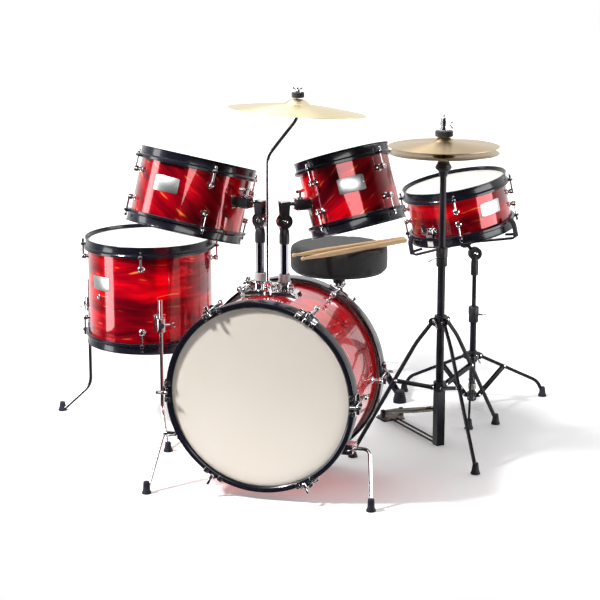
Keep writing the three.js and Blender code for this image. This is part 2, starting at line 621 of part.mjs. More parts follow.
// A pedal's footboard: a tapering board from its heel pivot up to its toe, with a hinge eye.
const BOARD = { heelHalf: 4, toeHalf: 3.5, eye: 5.5, notch: [9, 12], notchHalf: 30 };
function footboard(heelX, heelZ, toeX, toeZ, halfWidth, eyeHalf) {
  const { heelHalf, toeHalf, eye, notch, notchHalf } = BOARD;
  const board = plate([
    [heelX, heelZ - heelHalf], [heelX, heelZ + heelHalf], [toeX, toeZ + toeHalf], [toeX, toeZ - toeHalf],
  ], -halfWidth, halfWidth);
  const sign = Math.sign(heelX - toeX);
  const [x0, x1] = [heelX - sign * notch[0], heelX + sign * notch[1]].sort((a, b) => a - b);
  const notches = [-1, 1].map((side) => {
    const [y0, y1] = [side * eyeHalf, side * (halfWidth + 1)].sort((a, b) => a - b);
    return box([x0, y0, heelZ - notchHalf], [x1, y1, heelZ + notchHalf]);
  });
  return join([cut(board, notches), rod(vec(heelX, -eyeHalf, heelZ), vec(heelX, eyeHalf, heelZ), eye, 10)]);
}
add(hihat, 'hihat_footboard', heelWard(footboard(HEEL.distance, HEEL.pivotHeight,
  CHANNEL.half + 4, HEEL.toeHeight, HEEL.width, HEEL.eyeHalf)), PEDAL_METAL);

const lowerCymbal = add(hihat, 'hihat_bottom_cymbal', cymbal(HIHAT), CYMBAL_BRASS);
lowerCymbal.rotation.x = Math.PI;
lowerCymbal.position.z = HIHAT.lowerRim;
const topCymbal = add(hihat, 'hihat_top_cymbal', cymbal(HIHAT), CYMBAL_BRASS);
topCymbal.position.z = HIHAT.upperRim;
const upperBell = HIHAT.upperRim + HIHAT.bow + HIHAT.bell;
const CLUTCH = {
  sleeve: { radius: 5, low: upperBell - 14 },
  lowerNut: { radius: 11, low: upperBell - 12, high: upperBell - 4 },
  felt: { radius: 13, low: upperBell + 0.8, high: upperBell + 15 },
  collar: { radius: 7.5, low: 764 },
};
const PULL_STRAP = { from: [-2, -5, 78], to: [2, 5, 98] };
add(hihat, 'hihat_pull_rod', join([
  post(HIHAT.rod, PULL_STRAP.to[2] - 2, HIHAT.rodTop, 8),
  post(CLUTCH.sleeve.radius, CLUTCH.sleeve.low, HIHAT.clutchTop, 8),
  post(CLUTCH.lowerNut.radius, CLUTCH.lowerNut.low, CLUTCH.lowerNut.high),
  post(CLUTCH.felt.radius, CLUTCH.felt.low, CLUTCH.felt.high),
  post(CLUTCH.collar.radius, CLUTCH.collar.low, HIHAT.clutchTop, 10),
  heelWard(box(PULL_STRAP.from, PULL_STRAP.to)),
]), CHROME);

// ---- snare stand and snare drum ----------------------------------------------------------------
const snareStand = standing(SNARE_STAND.x, SNARE_STAND.y);
const SNARE_TUBE = { top: 232, clamp: { radius: 13, low: 222, high: 264 }, bore: [60, 300] };
const SNARE_WING = { from: [12, -3, 238], to: [28, 3, 248] };
addTripod(snareStand, SNARE_TRIPOD);
add(snareStand, 'snare_stand_tube', cut(join([
  ...tripodBase(SNARE_TRIPOD),
  post(SNARE_STAND.tube, SNARE_TRIPOD.base[1], SNARE_TUBE.top, FINE),
  post(SNARE_TUBE.clamp.radius, SNARE_TUBE.clamp.low, SNARE_TUBE.clamp.high, FINE),
  box(SNARE_WING.from, SNARE_WING.to),
]), [post(SNARE_STAND.upperTube + GAP, ...SNARE_TUBE.bore)]), BLACK_STEEL);

// The stand's ratchet: one half on the height rod and the other on the basket, either side of the pivot.
const RATCHET = { disc: 17, thick: 9, middle: 4.6, neck: 4, drop: 30 };
const HEIGHT_ROD = { low: 64, below: 20, sleeve: { radius: 9, low: 54, high: 18 } };
const snareUp = at(SNARE.up).normalize();
const lean = vec(snareUp.x, snareUp.y, 0).normalize();
const tiltAxis = vec(0, 0, 1).cross(lean);
const snarePivot = vec(SNARE_STAND.x, SNARE_STAND.y, SNARE_STAND.pivot);
const onAxis = (distance, drop = 0) =>
  tiltAxis.clone().multiplyScalar(distance).setZ(SNARE_STAND.pivot - drop);
add(snareStand, 'snare_stand_rod', join([
  post(SNARE_STAND.upperTube, HEIGHT_ROD.low, SNARE_STAND.pivot - HEIGHT_ROD.below),
  post(HEIGHT_ROD.sleeve.radius, SNARE_STAND.pivot - HEIGHT_ROD.sleeve.low,
    SNARE_STAND.pivot - HEIGHT_ROD.sleeve.high),
  rod(onAxis(GAP), onAxis(RATCHET.thick), RATCHET.disc, FINE),
  rod(onAxis(RATCHET.middle, RATCHET.drop), onAxis(RATCHET.middle), RATCHET.neck, COARSE),
]), BLACK_STEEL);

const snareBottom = at(SNARE.centre).addScaledVector(snareUp, -SNARE.depth / 2 - TOM_HOOP_RISE);
const BASKET = {
  below: 26, reach: SNARE.radius + 25, grip: 24, radius: 4.5, azimuths: [-140, -20, 100],
  hub: 13, neck: 4.2, knee: 8, pad: { radius: 7, low: 20, high: 3 }, rest: { reach: 28, below: 8, radius: 4 },
};
const snareSide = vec(1, 0, 0).addScaledVector(snareUp, -snareUp.x).normalize();
const snareBack = snareUp.clone().cross(snareSide);
const onSnare = (radius, azimuth, rise) => snareBottom.clone()
  .addScaledVector(snareSide, radius * Math.cos(rad(azimuth)))
  .addScaledVector(snareBack, radius * Math.sin(rad(azimuth)))
  .addScaledVector(snareUp, rise);
const hub = onSnare(0, 0, -BASKET.below);
const beside = (distance) => snarePivot.clone().addScaledVector(tiltAxis, distance);

function basketArm(azimuth) {
  const { reach, grip, pad, rest } = BASKET;
  const knee = onSnare(reach, azimuth, BASKET.knee - BASKET.below);
  return [
    ...bentRod([hub, knee, onSnare(reach, azimuth, grip)], BASKET.radius),
    rod(onSnare(reach, azimuth, grip - pad.low), onSnare(reach, azimuth, grip + pad.high), pad.radius),
    rod(onSnare(reach, azimuth, -rest.below), onSnare(reach - rest.reach, azimuth, -rest.below), rest.radius),
  ];
}
add(kit, 'snare_basket', join([
  ball(hub, BASKET.hub),
  rod(beside(-4.9), hub, BASKET.neck),
  rod(beside(-RATCHET.thick), beside(-GAP), RATCHET.disc, FINE),
  ...BASKET.azimuths.flatMap(basketArm),
]), BLACK_STEEL);

const STRAINER = { azimuth: -118, reach: 12, halfWidth: 24, low: -37, high: -19 };
const LEVER = {
  radius: SNARE.radius + 17, height: -28, half: 12, pin: 4.5, back: 3, front: 2, arm: 9, top: 2,
};
const strainerBlock = turnAbout(box([SNARE.radius - BITE, -STRAINER.halfWidth, STRAINER.low],
  [SNARE.radius + STRAINER.reach, STRAINER.halfWidth, STRAINER.high]), STRAINER.azimuth);
const snareGroup = addDrum(SNARE, [strainerBlock]);
add(snareGroup, 'snare_throw_off_lever', turnAbout(join([
  rod(vec(LEVER.radius, -LEVER.half, LEVER.height), vec(LEVER.radius, LEVER.half, LEVER.height),
    LEVER.pin, 8),
  box([LEVER.radius - LEVER.back, -LEVER.arm, LEVER.height],
    [LEVER.radius + LEVER.front, LEVER.arm, LEVER.top]),
]), STRAINER.azimuth), CHROME);

// ---- throne ----------------------------------------------------------------------------------
const throne = standing(THRONE.x, THRONE.y);
const seatBottom = THRONE.top - THRONE.thick;
add(throne, 'throne_seat', turned([
  [0, seatBottom], [THRONE.radius - 8, seatBottom], [THRONE.radius - 1, seatBottom + 6],
  [THRONE.radius, THRONE.top - 16], [THRONE.radius - 14, THRONE.top - 2], [0, THRONE.top],
], 28), SEAT_VINYL);
const THRONE_POST = {
  radius: 11, bottom: 120, flange: { radius: 60, hole: 10, thick: 6 }, sleeve: { radius: 16, low: 34 },
};
add(throne, 'throne_post', join([
  post(THRONE_POST.radius, THRONE_POST.bottom, seatBottom - 4),
  ring(THRONE_POST.flange.radius, THRONE_POST.flange.hole,
    seatBottom - THRONE_POST.flange.thick, seatBottom - GAP, 16),
  post(THRONE_POST.sleeve.radius, seatBottom - THRONE_POST.sleeve.low, seatBottom - 4),
]), BLACK_STEEL);
const THRONE_BASE = {
  tube: { radius: 14, low: 96, high: 232 }, clamp: { radius: 19, low: 200, high: 236 },
  leg: { path: [[16, 214], [60, 178], [THRONE.legReach, 12]], half: [5, 3.5] },
  stay: { path: [[12, 106], [132, 112]], half: [4.5, 3] },
  foot: { reach: THRONE.legReach - 4, height: 32, bottom: 17, top: 11 },
};
const throneBore = THRONE_POST.radius + GAP;
const throneBar = ({ path, half }) => plate(barOutline(path, half[0]), -half[1], half[1]);
const throneFoot = ({ reach, height, bottom, top }) => rubberFoot(reach, 0, height, bottom, top);
add(throne, 'throne_base', join([
  ring(THRONE_BASE.tube.radius, throneBore, THRONE_BASE.tube.low, THRONE_BASE.tube.high, 16),
  ring(THRONE_BASE.clamp.radius, throneBore, THRONE_BASE.clamp.low, THRONE_BASE.clamp.high, 16),
  ...THRONE.azimuths.flatMap((azimuth) => [
    turnAbout(throneBar(THRONE_BASE.leg), azimuth),
    turnAbout(throneBar(THRONE_BASE.stay), azimuth),
    turnAbout(throneFoot(THRONE_BASE.foot), azimuth),
  ]),
]), BLACK_STEEL);

// ---- sticks ----------------------------------------------------------------------------------
const STICK = {
  length: 372, radius: 7, neck: 3.9, tip: { radius: 5.7, at: 5 }, taper: [6, 90], rise: 0.7,
  places: [{ from: [-138, 752], azimuth: 52 }, { from: [-104, 716], azimuth: 56.8 }],
};
function stick({ from, azimuth }) {
  const start = vec(...from, THRONE.top + STICK.radius + STICK.rise);
  const where = (d) => start.clone().addScaledVector(polar(1, azimuth), d);
  const [neck, shaft] = STICK.taper.map(where);
  return join([
    ball(where(STICK.tip.at), STICK.tip.radius),
    rod(neck, shaft, STICK.neck, 10, STICK.radius),
    rod(shaft, where(STICK.length), STICK.radius, 10),
  ]);
}
STICK.places.forEach((place, i) => add(kit, `drumstick_${i + 1}`, stick(place), STICK_WOOD));

// ---- bass drum pedal -------------------------------------------------------------------------
const pedal = standing(0, 0);
const FRAME = {
  half: 38, thick: 4, deep: 9, front: 6, back: 24, base: 8, above: 12, bore: 4.6,
  rods: { x: 26, half: 3, low: 1, high: 7, start: 20 },
  heel: { half: 34, front: 14, back: 40, height: 12, cheek: { inner: 26, half: 6, low: 10, high: 26 } },
  clamp: { foot: [18, 24, 8, 5], jaw: [16, 10, 40] },
};
const across = (x, y, z) => [vec(-x, y, z), vec(x, y, z)];
const axle = vec(0, PEDAL.axleY, PEDAL.axleHeight);

// A cheek of the frame, bored for the axle.
function pedalCheek(side) {
  const middle = side * FRAME.half;
  const cheek = box([middle - FRAME.thick, PEDAL.axleY - FRAME.deep, 4],
    [middle + FRAME.thick, PEDAL.axleY + FRAME.deep, PEDAL.axleHeight + FRAME.above]);
  return cut(cheek, [rod(...across(60, axle.y, axle.z), FRAME.bore, 10)]);
}

// The radius rods, the heel plate and its two cheeks.
function pedalHeel() {
  const { rods, heel } = FRAME;
  const { inner, half, low, high } = heel.cheek;
  return [
    ...[-1, 1].map((side) => box([side * rods.x - rods.half, PEDAL.axleY + rods.start, rods.low],
      [side * rods.x + rods.half, PEDAL.heelY, rods.high])),
    box([-heel.half, PEDAL.heelY - heel.front, 0], [heel.half, PEDAL.heelY + heel.back, heel.height]),
    ...[-heel.half, inner].map((x) => box([x, PEDAL.heelY - half, low],
      [x + heel.half - inner, PEDAL.heelY + half, high])),
  ];
}

// The clamp that holds the batter hoop.
function pedalClamp() {
  const [footHalf, footBack, footFront, footHeight] = FRAME.clamp.foot;
  const [jawHalf, jawFront, jawHeight] = FRAME.clamp.jaw;
  return [
    box([-footHalf, PEDAL.y - footBack, 0], [footHalf, PEDAL.y + footFront, footHeight]),
    box([-jawHalf, PEDAL.y + GAP, 0], [jawHalf, PEDAL.y + jawFront, jawHeight]),
  ];
}
const frameEdge = FRAME.half + FRAME.thick;
add(pedal, 'bass_pedal_frame', join([
  box([-frameEdge, PEDAL.y + FRAME.front, 0], [frameEdge, PEDAL.axleY + FRAME.back, FRAME.base]),
  ...[-1, 1].map(pedalCheek),
  ...pedalHeel(),
  ...pedalClamp(),
]), BLACK_STEEL);
const PEDAL_BOARD = { heelHeight: 22, toe: PEDAL.axleY + 22, toeHeight: 78, half: 34, eyeHalf: 25.4 };
const pedalBoard = footboard(-PEDAL.heelY, PEDAL_BOARD.heelHeight, -PEDAL_BOARD.toe,
  PEDAL_BOARD.toeHeight, PEDAL_BOARD.half, PEDAL_BOARD.eyeHalf).rotateZ(-Math.PI / 2);
add(pedal, 'bass_pedal_footboard', pedalBoard, PEDAL_METAL);

const BEATER = { axle: [44, 4.2, 10], hub: [14, 12, 12], shaft: [3, 8], felt: [22, 14], back: 16, face: 18 };
const beaterTilt = rad(PEDAL.beaterTilt);
const beaterUp = vec(0, Math.sin(beaterTilt), Math.cos(beaterTilt));
const beaterFace = vec(0, -Math.cos(beaterTilt), Math.sin(beaterTilt));
const beaterHead = axle.clone().addScaledVector(beaterUp, PEDAL.beater);
const fromHead = (distance) => beaterHead.clone().addScaledVector(beaterFace, distance);
const axleBar = ([half, radius, sides]) => rod(...across(half, axle.y, axle.z), radius, sides);
add(pedal, 'bass_pedal_beater', join([
  axleBar(BEATER.axle),
  axleBar(BEATER.hub),
  rod(axle, beaterHead, ...BEATER.shaft),
  rod(fromHead(-BEATER.back), fromHead(BEATER.face), ...BEATER.felt),
]), BLACK_STEEL);

// ---- centre the kit on the origin ------------------------------------------------------------
const bounds = new THREE.Box3().setFromObject(kit, true);
const middle = bounds.getCenter(vec(0, 0, 0));
kit.position.set(-middle.x, -middle.y, -bounds.min.z);

// Where the joints turn, in the kit's own layout, before it is centred.
export const pivots = {
  shift: kit.position.toArray(),
  spur: [SPUR.bracketX + 32, SPUR.y, SPUR.height],
  crashRod: [CRASH.x, CRASH.y, HOLDER.top],
  crash: [kneeX, CRASH.y, CRASH.seat],
  leftTom: leftMount, rightTom: rightMount,
  floorTom: FLOOR_TOM.centre,
  hihat: [HIHAT.x, HIHAT.y], heel: HEEL, hihatTripod: HIHAT_TRIPOD,
  snareStand: [SNARE_STAND.x, SNARE_STAND.y, SNARE_STAND.pivot], snareTripod: SNARE_TRIPOD,
  snareUp: snareUp.toArray(), snareTilt: tiltAxis.toArray(), snareCentre: SNARE.centre,
  strainer: { azimuth: STRAINER.azimuth, radius: LEVER.radius, height: LEVER.height },
  throne: [THRONE.x, THRONE.y],
  pedal: PEDAL,
};

export default kit;
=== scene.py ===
"""The looks of a junior acoustic drum kit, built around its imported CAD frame.

Shapes are written in millimetres. A piece is moved to the frame and turned into metres when it is
finished.
"""
import json
import math

import bmesh
import bpy
from mathutils import Matrix, Vector


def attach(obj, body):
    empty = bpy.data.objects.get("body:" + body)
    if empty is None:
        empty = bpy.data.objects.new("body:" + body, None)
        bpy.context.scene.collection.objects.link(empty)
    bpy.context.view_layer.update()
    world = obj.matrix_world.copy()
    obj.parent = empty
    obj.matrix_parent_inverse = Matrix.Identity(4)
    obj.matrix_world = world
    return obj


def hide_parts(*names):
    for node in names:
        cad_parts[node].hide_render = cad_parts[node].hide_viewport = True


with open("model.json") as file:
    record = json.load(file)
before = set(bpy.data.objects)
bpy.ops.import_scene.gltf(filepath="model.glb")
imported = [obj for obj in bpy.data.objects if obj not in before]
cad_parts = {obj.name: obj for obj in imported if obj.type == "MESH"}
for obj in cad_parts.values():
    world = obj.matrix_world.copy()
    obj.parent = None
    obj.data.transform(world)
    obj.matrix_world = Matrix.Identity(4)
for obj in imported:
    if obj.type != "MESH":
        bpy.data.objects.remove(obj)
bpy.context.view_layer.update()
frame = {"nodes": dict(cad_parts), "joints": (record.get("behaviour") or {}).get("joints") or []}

METRE = 1000.0
JOINTS = {joint["name"]: joint for joint in frame["joints"]}
X, Y, Z = Vector((1, 0, 0)), Vector((0, 1, 0)), Vector((0, 0, 1))


# ---- placing ------------------------------------------------------------------------------------
def joint_at(name):
    return Vector(JOINTS[name]["pos_m"]) * METRE


def joint_axis(name):
    return Vector(JOINTS[name]["axis"])


def move(x=0.0, y=0.0, z=0.0):
    return Matrix.Translation((x, y, z))


def turn(degrees, axis="Z"):
    return Matrix.Rotation(math.radians(degrees), 4, axis)


def aim(start, direction):
    """Puts the origin at start with +Z along direction."""
    return Matrix.Translation(start) @ Z.rotation_difference(Vector(direction)).to_matrix().to_4x4()


def polar(radius, degrees, z=0.0):
    angle = math.radians(degrees)
    return Vector((radius * math.cos(angle), radius * math.sin(angle), z))


PEDAL_AXLE = Vector((0, 327, 108))
KIT = Matrix.Translation(joint_at("bass_pedal_beater_swing") - PEDAL_AXLE)


# ---- shapes: each is a list of points and a list of faces ------------------------------------------
def take(mesh):
    shape = [v.co.copy() for v in mesh.verts], [[v.index for v in f.verts] for f in mesh.faces]
    mesh.free()
    return shape


def lathe(profile, sides=48, closed=False):
    """Turns (radius, height) points about +Z. It starts and ends on the axis, or is closed."""
    points, faces, rings = [], [], []
    for radius, height in profile:
        if radius < 1e-6:
            rings.append([len(points)] * sides)
            points.append(Vector((0, 0, height)))
        else:
            rings.append(list(range(len(points), len(points) + sides)))
            points += [polar(radius, 360 * i / sides, height) for i in range(sides)]
    pairs = list(zip(rings, rings[1:]))
    if closed:
        pairs.append((rings[-1], rings[0]))
    for low, high in pairs:
        for i in range(sides):
            j = (i + 1) % sides
            corners = [low[i], low[j], high[j], high[i]]
            face = [c for k, c in enumerate(corners) if c != corners[k - 1]]
            if len(face) > 2:
                faces.append(face)
    return points, faces


def rod(start, end, radius, end_radius=None, chamfer=0.5, sides=18):
    """A straight round bar with softened ends."""
    start, end = Vector(start), Vector(end)
    far = radius if end_radius is None else end_radius
    length = (end - start).length
    c = min(chamfer, length / 3, radius / 2, far / 2)
    profile = [(0, 0), (radius - c, 0), (radius, c), (far, length - c), (far - c, length), (0, length)]
    points, faces = lathe(profile, sides)
    place = aim(start, end - start)
    return [place @ p for p in points], faces


def rounded(points, bend, steps=6):
    """The path through points with each corner turned into a curve that starts bend before it."""
    points = [Vector(p) for p in points]
    path = [points[0]]
    for before, corner, after in zip(points, points[1:], points[2:]):
        back, ahead = before - corner, after - corner
        reach = min(bend, back.length * 0.48, ahead.length * 0.48)
        a = corner + back.normalized() * reach
        b = corner + ahead.normalized() * reach
        for i in range(steps + 1):
            t = i / steps
            path.append(a.lerp(corner, t).lerp(corner.lerp(b, t), t))
    path.append(points[-1])
    return path


def tangents(path):
    last = len(path) - 1
    return [(path[min(i + 1, last)] - path[max(i - 1, 0)]).normalized() for i in range(last + 1)]


def skin(rings):
    """Joins rings of equal length into a closed solid with flat ends."""
    size = len(rings[0])
    points = [p for ring in rings for p in ring]
    faces = [list(range(size - 1, -1, -1)), [len(points) - size + i for i in range(size)]]
    for r in range(len(rings) - 1):
        for i in range(size):
            j = (i + 1) % size
            faces.append([r * size + i, r * size + j, (r + 1) * size + j, (r + 1) * size + i])
    return points, faces


def tube(points, radius, bend=0.0, sides=16, chamfer=0.5):
    """A round bar along a path. radius is one number, or a function of 0 to 1 along the path."""
    path = rounded(points, bend) if bend else [Vector(p) for p in points]
    along = tangents(path)
    wide = radius if callable(radius) else (lambda t: radius)
    side = along[0].orthogonal().normalized()
    rings = []
    for i, (p, t) in enumerate(zip(path, along)):
        side = (side - t * side.dot(t)).normalized()
        other = t.cross(side)
        r = wide(i / (len(path) - 1))
        rings.append([p + (side * math.cos(a) + other * math.sin(a)) * r
                      for a in (math.tau * k / sides for k in range(sides))])
    for end, step in ((0, 1), (-1, -1)):
        centre, ring = path[end], rings[end]
        small = [centre + (p - centre) * (1 - chamfer / wide(0 if end == 0 else 1)) for p in ring]
        rings[end] = [p + along[end] * chamfer * step for p in ring]
        rings.insert(0 if end == 0 else len(rings), small)
    return skin(rings)


def sweep(points, section, side=Y, bend=0.0):
    """A bar of constant section along a flat path. section is (up, sideways) points."""
    path = rounded(points, bend) if bend else [Vector(p) for p in points]
    rings = []
    for p, t in zip(path, tangents(path)):
        up = side.cross(t).normalized()
        rings.append([p + up * a + side * b for a, b in section])
    return skin(rings)


def block(low, high, bevel=0.8, steps=2):
    mesh = bmesh.new()
    bmesh.ops.create_cube(mesh, size=1)
    low, high = Vector(low), Vector(high)
    for v in mesh.verts:
        v.co = Vector([low[k] + (high[k] - low[k]) * (v.co[k] + 0.5) for k in range(3)])
    bmesh.ops.bevel(mesh, geom=mesh.edges[:], offset=bevel, segments=steps, profile=0.5, affect="EDGES")
    mesh.verts.index_update()
    return take(mesh)


def plate(outline, low, high, bevel=0.5, steps=2):
    """A plate cut from an (x, z) outline, from y = low to y = high."""
    mesh = bmesh.new()
    face = mesh.faces.new([mesh.verts.new((x, low, z)) for x, z in outline])
    grown = bmesh.ops.extrude_face_region(mesh, geom=[face])
    for v in grown["geom"]:
        if isinstance(v, bmesh.types.BMVert):
            v.co.y = high
    rim = [e for e in mesh.edges if abs(e.verts[0].co.y - e.verts[1].co.y) < 1e-6]
    bmesh.ops.bevel(mesh, geom=rim, offset=bevel, segments=steps, profile=0.5, affect="EDGES")
    mesh.verts.index_update()
    return take(mesh)


def box_section(height, width, corner=0.8):
    h, w, c = height / 2, width / 2, corner
    return [(-h + c, -w), (h - c, -w), (h, -w + c), (h, w - c),
            (h - c, w), (-h + c, w), (-h, w - c), (-h, -w + c)]


def channel_section(height, width, wall=1.6):
    """A pressed channel: a web on top with two flanges, open below."""
    h, w = height / 2, width / 2
    return [(-h, -w), (h - 0.8, -w), (h, -w + 0.8), (h, w - 0.8), (h - 0.8, w), (-h, w),
            (-h, w - wall), (h - wall, w - wall), (h - wall, -w + wall), (-h, -w + wall)]


def arc(centre, radius, start, stop, steps=8):
    """Points on a circle, for outlines."""
    return [(centre[0] + radius * math.cos(math.radians(start + (stop - start) * i / steps)),
             centre[1] + radius * math.sin(math.radians(start + (stop - start) * i / steps)))
            for i in range(steps + 1)]


def stadium(length, radius):
    """An outline with two round ends, along x from 0 to length."""
    return arc((length, 0), radius, -90, 90) + arc((0, 0), radius, 90, 270)


def pipe(inner, outer, low, high, sides=36):
    return lathe([(inner, low), (outer, low), (outer, high), (inner, high)], sides, closed=True)


def both_ways(upper):
    """A profile's upper half, joined to its mirror image below z = 0."""
    return [(r, -z) for r, z in reversed(upper)] + upper


def beside(side, near, far):
    """The ends of a span on one side of the middle, lowest first."""
    return sorted((side * near, side * far))


class Piece:
    """One named object made of several shapes, each in its own material."""

    def __init__(self, name, body, place=KIT, slot=None, stands_for=()):
        self.name, self.body, self.place, self.slot, self.stands_for = name, body, place, slot, stands_for
        self.points, self.faces, self.maps, self.looks, self.materials = [], [], [], [], []

    def add(self, shape, material, *moves, unroll=None):
        """Adds a shape, moved by each matrix from the last to the first. unroll makes each face's map."""
        if material not in self.materials:
            self.materials.append(material)
        place = self.place.copy()
        for m in moves:
            place = place @ m
        points, faces = shape
        base = len(self.points)
        self.points += [place @ Vector(p) for p in points]
        for face in faces:
            self.faces.append([base + i for i in face])
            self.looks.append(self.materials.index(material))
            self.maps.append(unroll([points[i] for i in face]) if unroll else [(0, 0)] * len(face))

    def finish(self, sharp=38):
        mesh = bpy.data.meshes.new(self.name)
        mesh.from_pydata([p / METRE for p in self.points], [], self.faces)
        for material in self.materials:
            mesh.materials.append(material)
        mesh.polygons.foreach_set("material_index", self.looks)
        layer = mesh.uv_layers.new(name="unrolled")
        flat = [value for face in self.maps for pair in face for value in pair]
        layer.data.foreach_set("uv", flat)
        work = bmesh.new()
        work.from_mesh(mesh)
        bmesh.ops.recalc_face_normals(work, faces=work.faces)
        work.to_mesh(mesh)
        work.free()
        mesh.shade_smooth()
        mesh.set_sharp_from_angle(angle=math.radians(sharp))
        piece = bpy.data.objects.new(self.name, mesh)
        bpy.context.scene.collection.objects.link(piece)
        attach(piece, self.body)
        if self.stands_for:
            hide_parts(*self.stands_for)
        return piece


def unrolled(corners):
    """Where a face's corners come when the surface is unrolled about Z: metres round, metres along."""
    radius = max(math.hypot(p.x, p.y) for p in corners)
    out, first = [], None
    for p in corners:
        angle = math.atan2(p.y, p.x)
        if first is None:
            first = angle
        angle += math.tau * round((first - angle) / math.tau)
        out.append((angle * radius / METRE, p.z / METRE))
    return out


# ---- materials --------------------------------------------------------------------------------------
class Look:
    """A node material built on one principled shader."""

    def __init__(self, name, **values):
        self.material = bpy.data.materials.new(name)
        self.material.use_nodes = True
        self.tree = self.material.node_tree
        self.shader = self.tree.nodes["Principled BSDF"]
        for key, value in values.items():
            socket = self.shader.inputs[key.replace("_", " ")]
            socket.default_value = (*value, 1) if isinstance(value, tuple) else value

    def node(self, kind, inputs=(), **settings):
        made = self.tree.nodes.new("ShaderNode" + kind)
        for key, value in settings.items():
            setattr(made, key, value)
        for key, value in dict(inputs).items():
            if isinstance(value, bpy.types.NodeSocket):
                self.tree.links.new(value, made.inputs[key])
            else:
                made.inputs[key].default_value = value
        return made

    def drive(self, key, socket):
        self.tree.links.new(socket, self.shader.inputs[key])

    def coords(self):
        return self.node("TexCoord").outputs["Object"]

    def unrolled(self):
        return self.node("UVMap", uv_map="unrolled").outputs[0]

    def noise(self, vector, scale, detail=3.0, roughness=0.5):
        inputs = {"Vector": vector, "Scale": scale, "Detail": detail, "Roughness": roughness}
        return self.node("TexNoise", inputs).outputs["Fac"]

    def clouds(self, scale, detail=3.0, roughness=0.5):
        """Noise in the object's own space."""
        return self.noise(self.coords(), scale, detail, roughness)

    def stretched(self, vector, along, across, detail, roughness=0.5):
        """Noise drawn out along one direction of a map."""
        mapped = self.node("Mapping", {"Vector": vector, "Scale": (along, across, 1)}).outputs[0]
        return self.noise(mapped, 1.0, detail, roughness)

    def ramp(self, fac, *stops):
        """Colours or grey levels at places from 0 to 1."""
        made = self.node("ValToRGB", {"Fac": fac})
        colours = made.color_ramp.elements
        while len(colours) < len(stops):
            colours.new(0.5)
        for element, (place, value) in zip(colours, stops):
            element.position = place
            element.color = (*value, 1) if isinstance(value, tuple) else (value, value, value, 1)
        return made.outputs["Color"]

    def span(self, fac, low, high):
        return self.node("MapRange", {"Value": fac, "To Min": low, "To Max": high}).outputs["Result"]

    def mix(self, fac, a, b):
        made = self.node("Mix", data_type="RGBA")
        for index, value in ((0, fac), (6, a), (7, b)):
            if isinstance(value, bpy.types.NodeSocket):
                self.tree.links.new(value, made.inputs[index])
            else:
                made.inputs[index].default_value = (*value, 1) if isinstance(value, tuple) else value
        return made.outputs[2]

    def bump(self, height, strength, distance):
        made = self.node("Bump", {"Height": height, "Strength": strength, "Distance": distance})
        self.drive("Normal", made.outputs["Normal"])


def red_wrap(name, turned=0.0, lift=0.0):
    """Glossy pearl film under a clear coat: silky bands from maroon to red, and a few orange glints painted
    into the base colour as painted highlights.
    """
    look = Look(name, Roughness=0.16, Metallic=0.12, Specular_IOR_Level=0.9, Specular_Tint=(1.0, 0.03, 0.04),
                Coat_Weight=1.0, Coat_Roughness=0.01, Coat_IOR=1.5)
    rotated = {"Vector": look.unrolled(), "Rotation": (0, 0, math.radians(turned))}
    tilted = look.node("Mapping", rotated).outputs["Vector"]
    push = look.node("CombineXYZ", {"X": look.span(look.noise(tilted, 7.0, 1.0), -0.02, 0.02),
                                    "Y": look.span(look.noise(tilted, 12.0, 0.0), -0.011, 0.011)}).outputs[0]
    pushed = look.node("VectorMath", {0: tilted, 1: push}, operation="ADD").outputs[0]
    patch, band = look.stretched(pushed, 6, 15, 0.0), look.stretched(pushed, 7, 42, 1.0)
    silk, spark = look.stretched(pushed, 14, 140, 2.0), look.stretched(pushed, 20, 130, 0.0)
    mixed = look.mix(0.16, look.mix(0.45, patch, band), silk)
    # lift moves every stop down, so the whole wrap comes out lighter; the bass drum's copy uses this as
    # painted light.
    colour = look.ramp(mixed, (0.36 - lift, (0.08, 0.0, 0.004)), (0.45 - lift, (0.24, 0.0, 0.007)),
                       (0.53 - lift, (0.52, 0.0, 0.009)), (0.61 - lift, (0.95, 0.001, 0.010)))
    # Painted highlights: orange glints mixed into the base colour where thin streaks cross the brighter
    # bands.
    painted_glint_masks = {0: look.ramp(spark, (0.69, 0.0), (0.78, 1.0)), 1: look.ramp(band, (0.50, 0.0), (0.60, 1.0))}
    painted_glint = look.node("Math", painted_glint_masks, operation="MULTIPLY").outputs[0]
    look.drive("Base Color", look.mix(painted_glint, colour, (1.0, 0.30, 0.05)))
    look.bump(mixed, 0.12, 0.02)
    look.drive("Coat Normal", look.node("NewGeometry").outputs["Normal"])
    return look.material


def gloss_black():
    look = Look("gloss_black", Base_Color=(0.008, 0.008, 0.017), Specular_IOR_Level=0.3, Coat_Weight=0.4,
                Coat_Roughness=0.05)
    look.drive("Roughness", look.span(look.clouds(38.0, 4.0, 0.6), 0.16, 0.34))
    look.bump(look.clouds(420.0, 2.0), 0.03, 0.0004)
    return look.material


def worn(name, wear, stops, rough, grain=None, **values):
    """One cloudy noise, wear, sets both the colour and the roughness, over a fine grain."""
    look = Look(name, **values)
    cloud = look.clouds(*wear)
    look.drive("Base Color", look.ramp(cloud, *stops))
    look.drive("Roughness", look.span(cloud, *rough))
    if grain:
        scale, detail, strength, distance = grain
        look.bump(look.clouds(scale, detail), strength, distance)
    return look.material


def chrome(name, tone, shade):
    return worn(name, (65.0, 4.0, 0.65), ((0.0, tone), (1.0, shade)), (0.03, 0.14), Metallic=1.0)


def powder_black():
    stops = ((0.35, (0.006, 0.005, 0.011)), (0.7, (0.016, 0.014, 0.024)))
    return worn("powder_black", (24.0, 5.0, 0.6), stops, (0.30, 0.5), (900.0, 2.0, 0.25, 0.0004),
                Specular_IOR_Level=0.28)


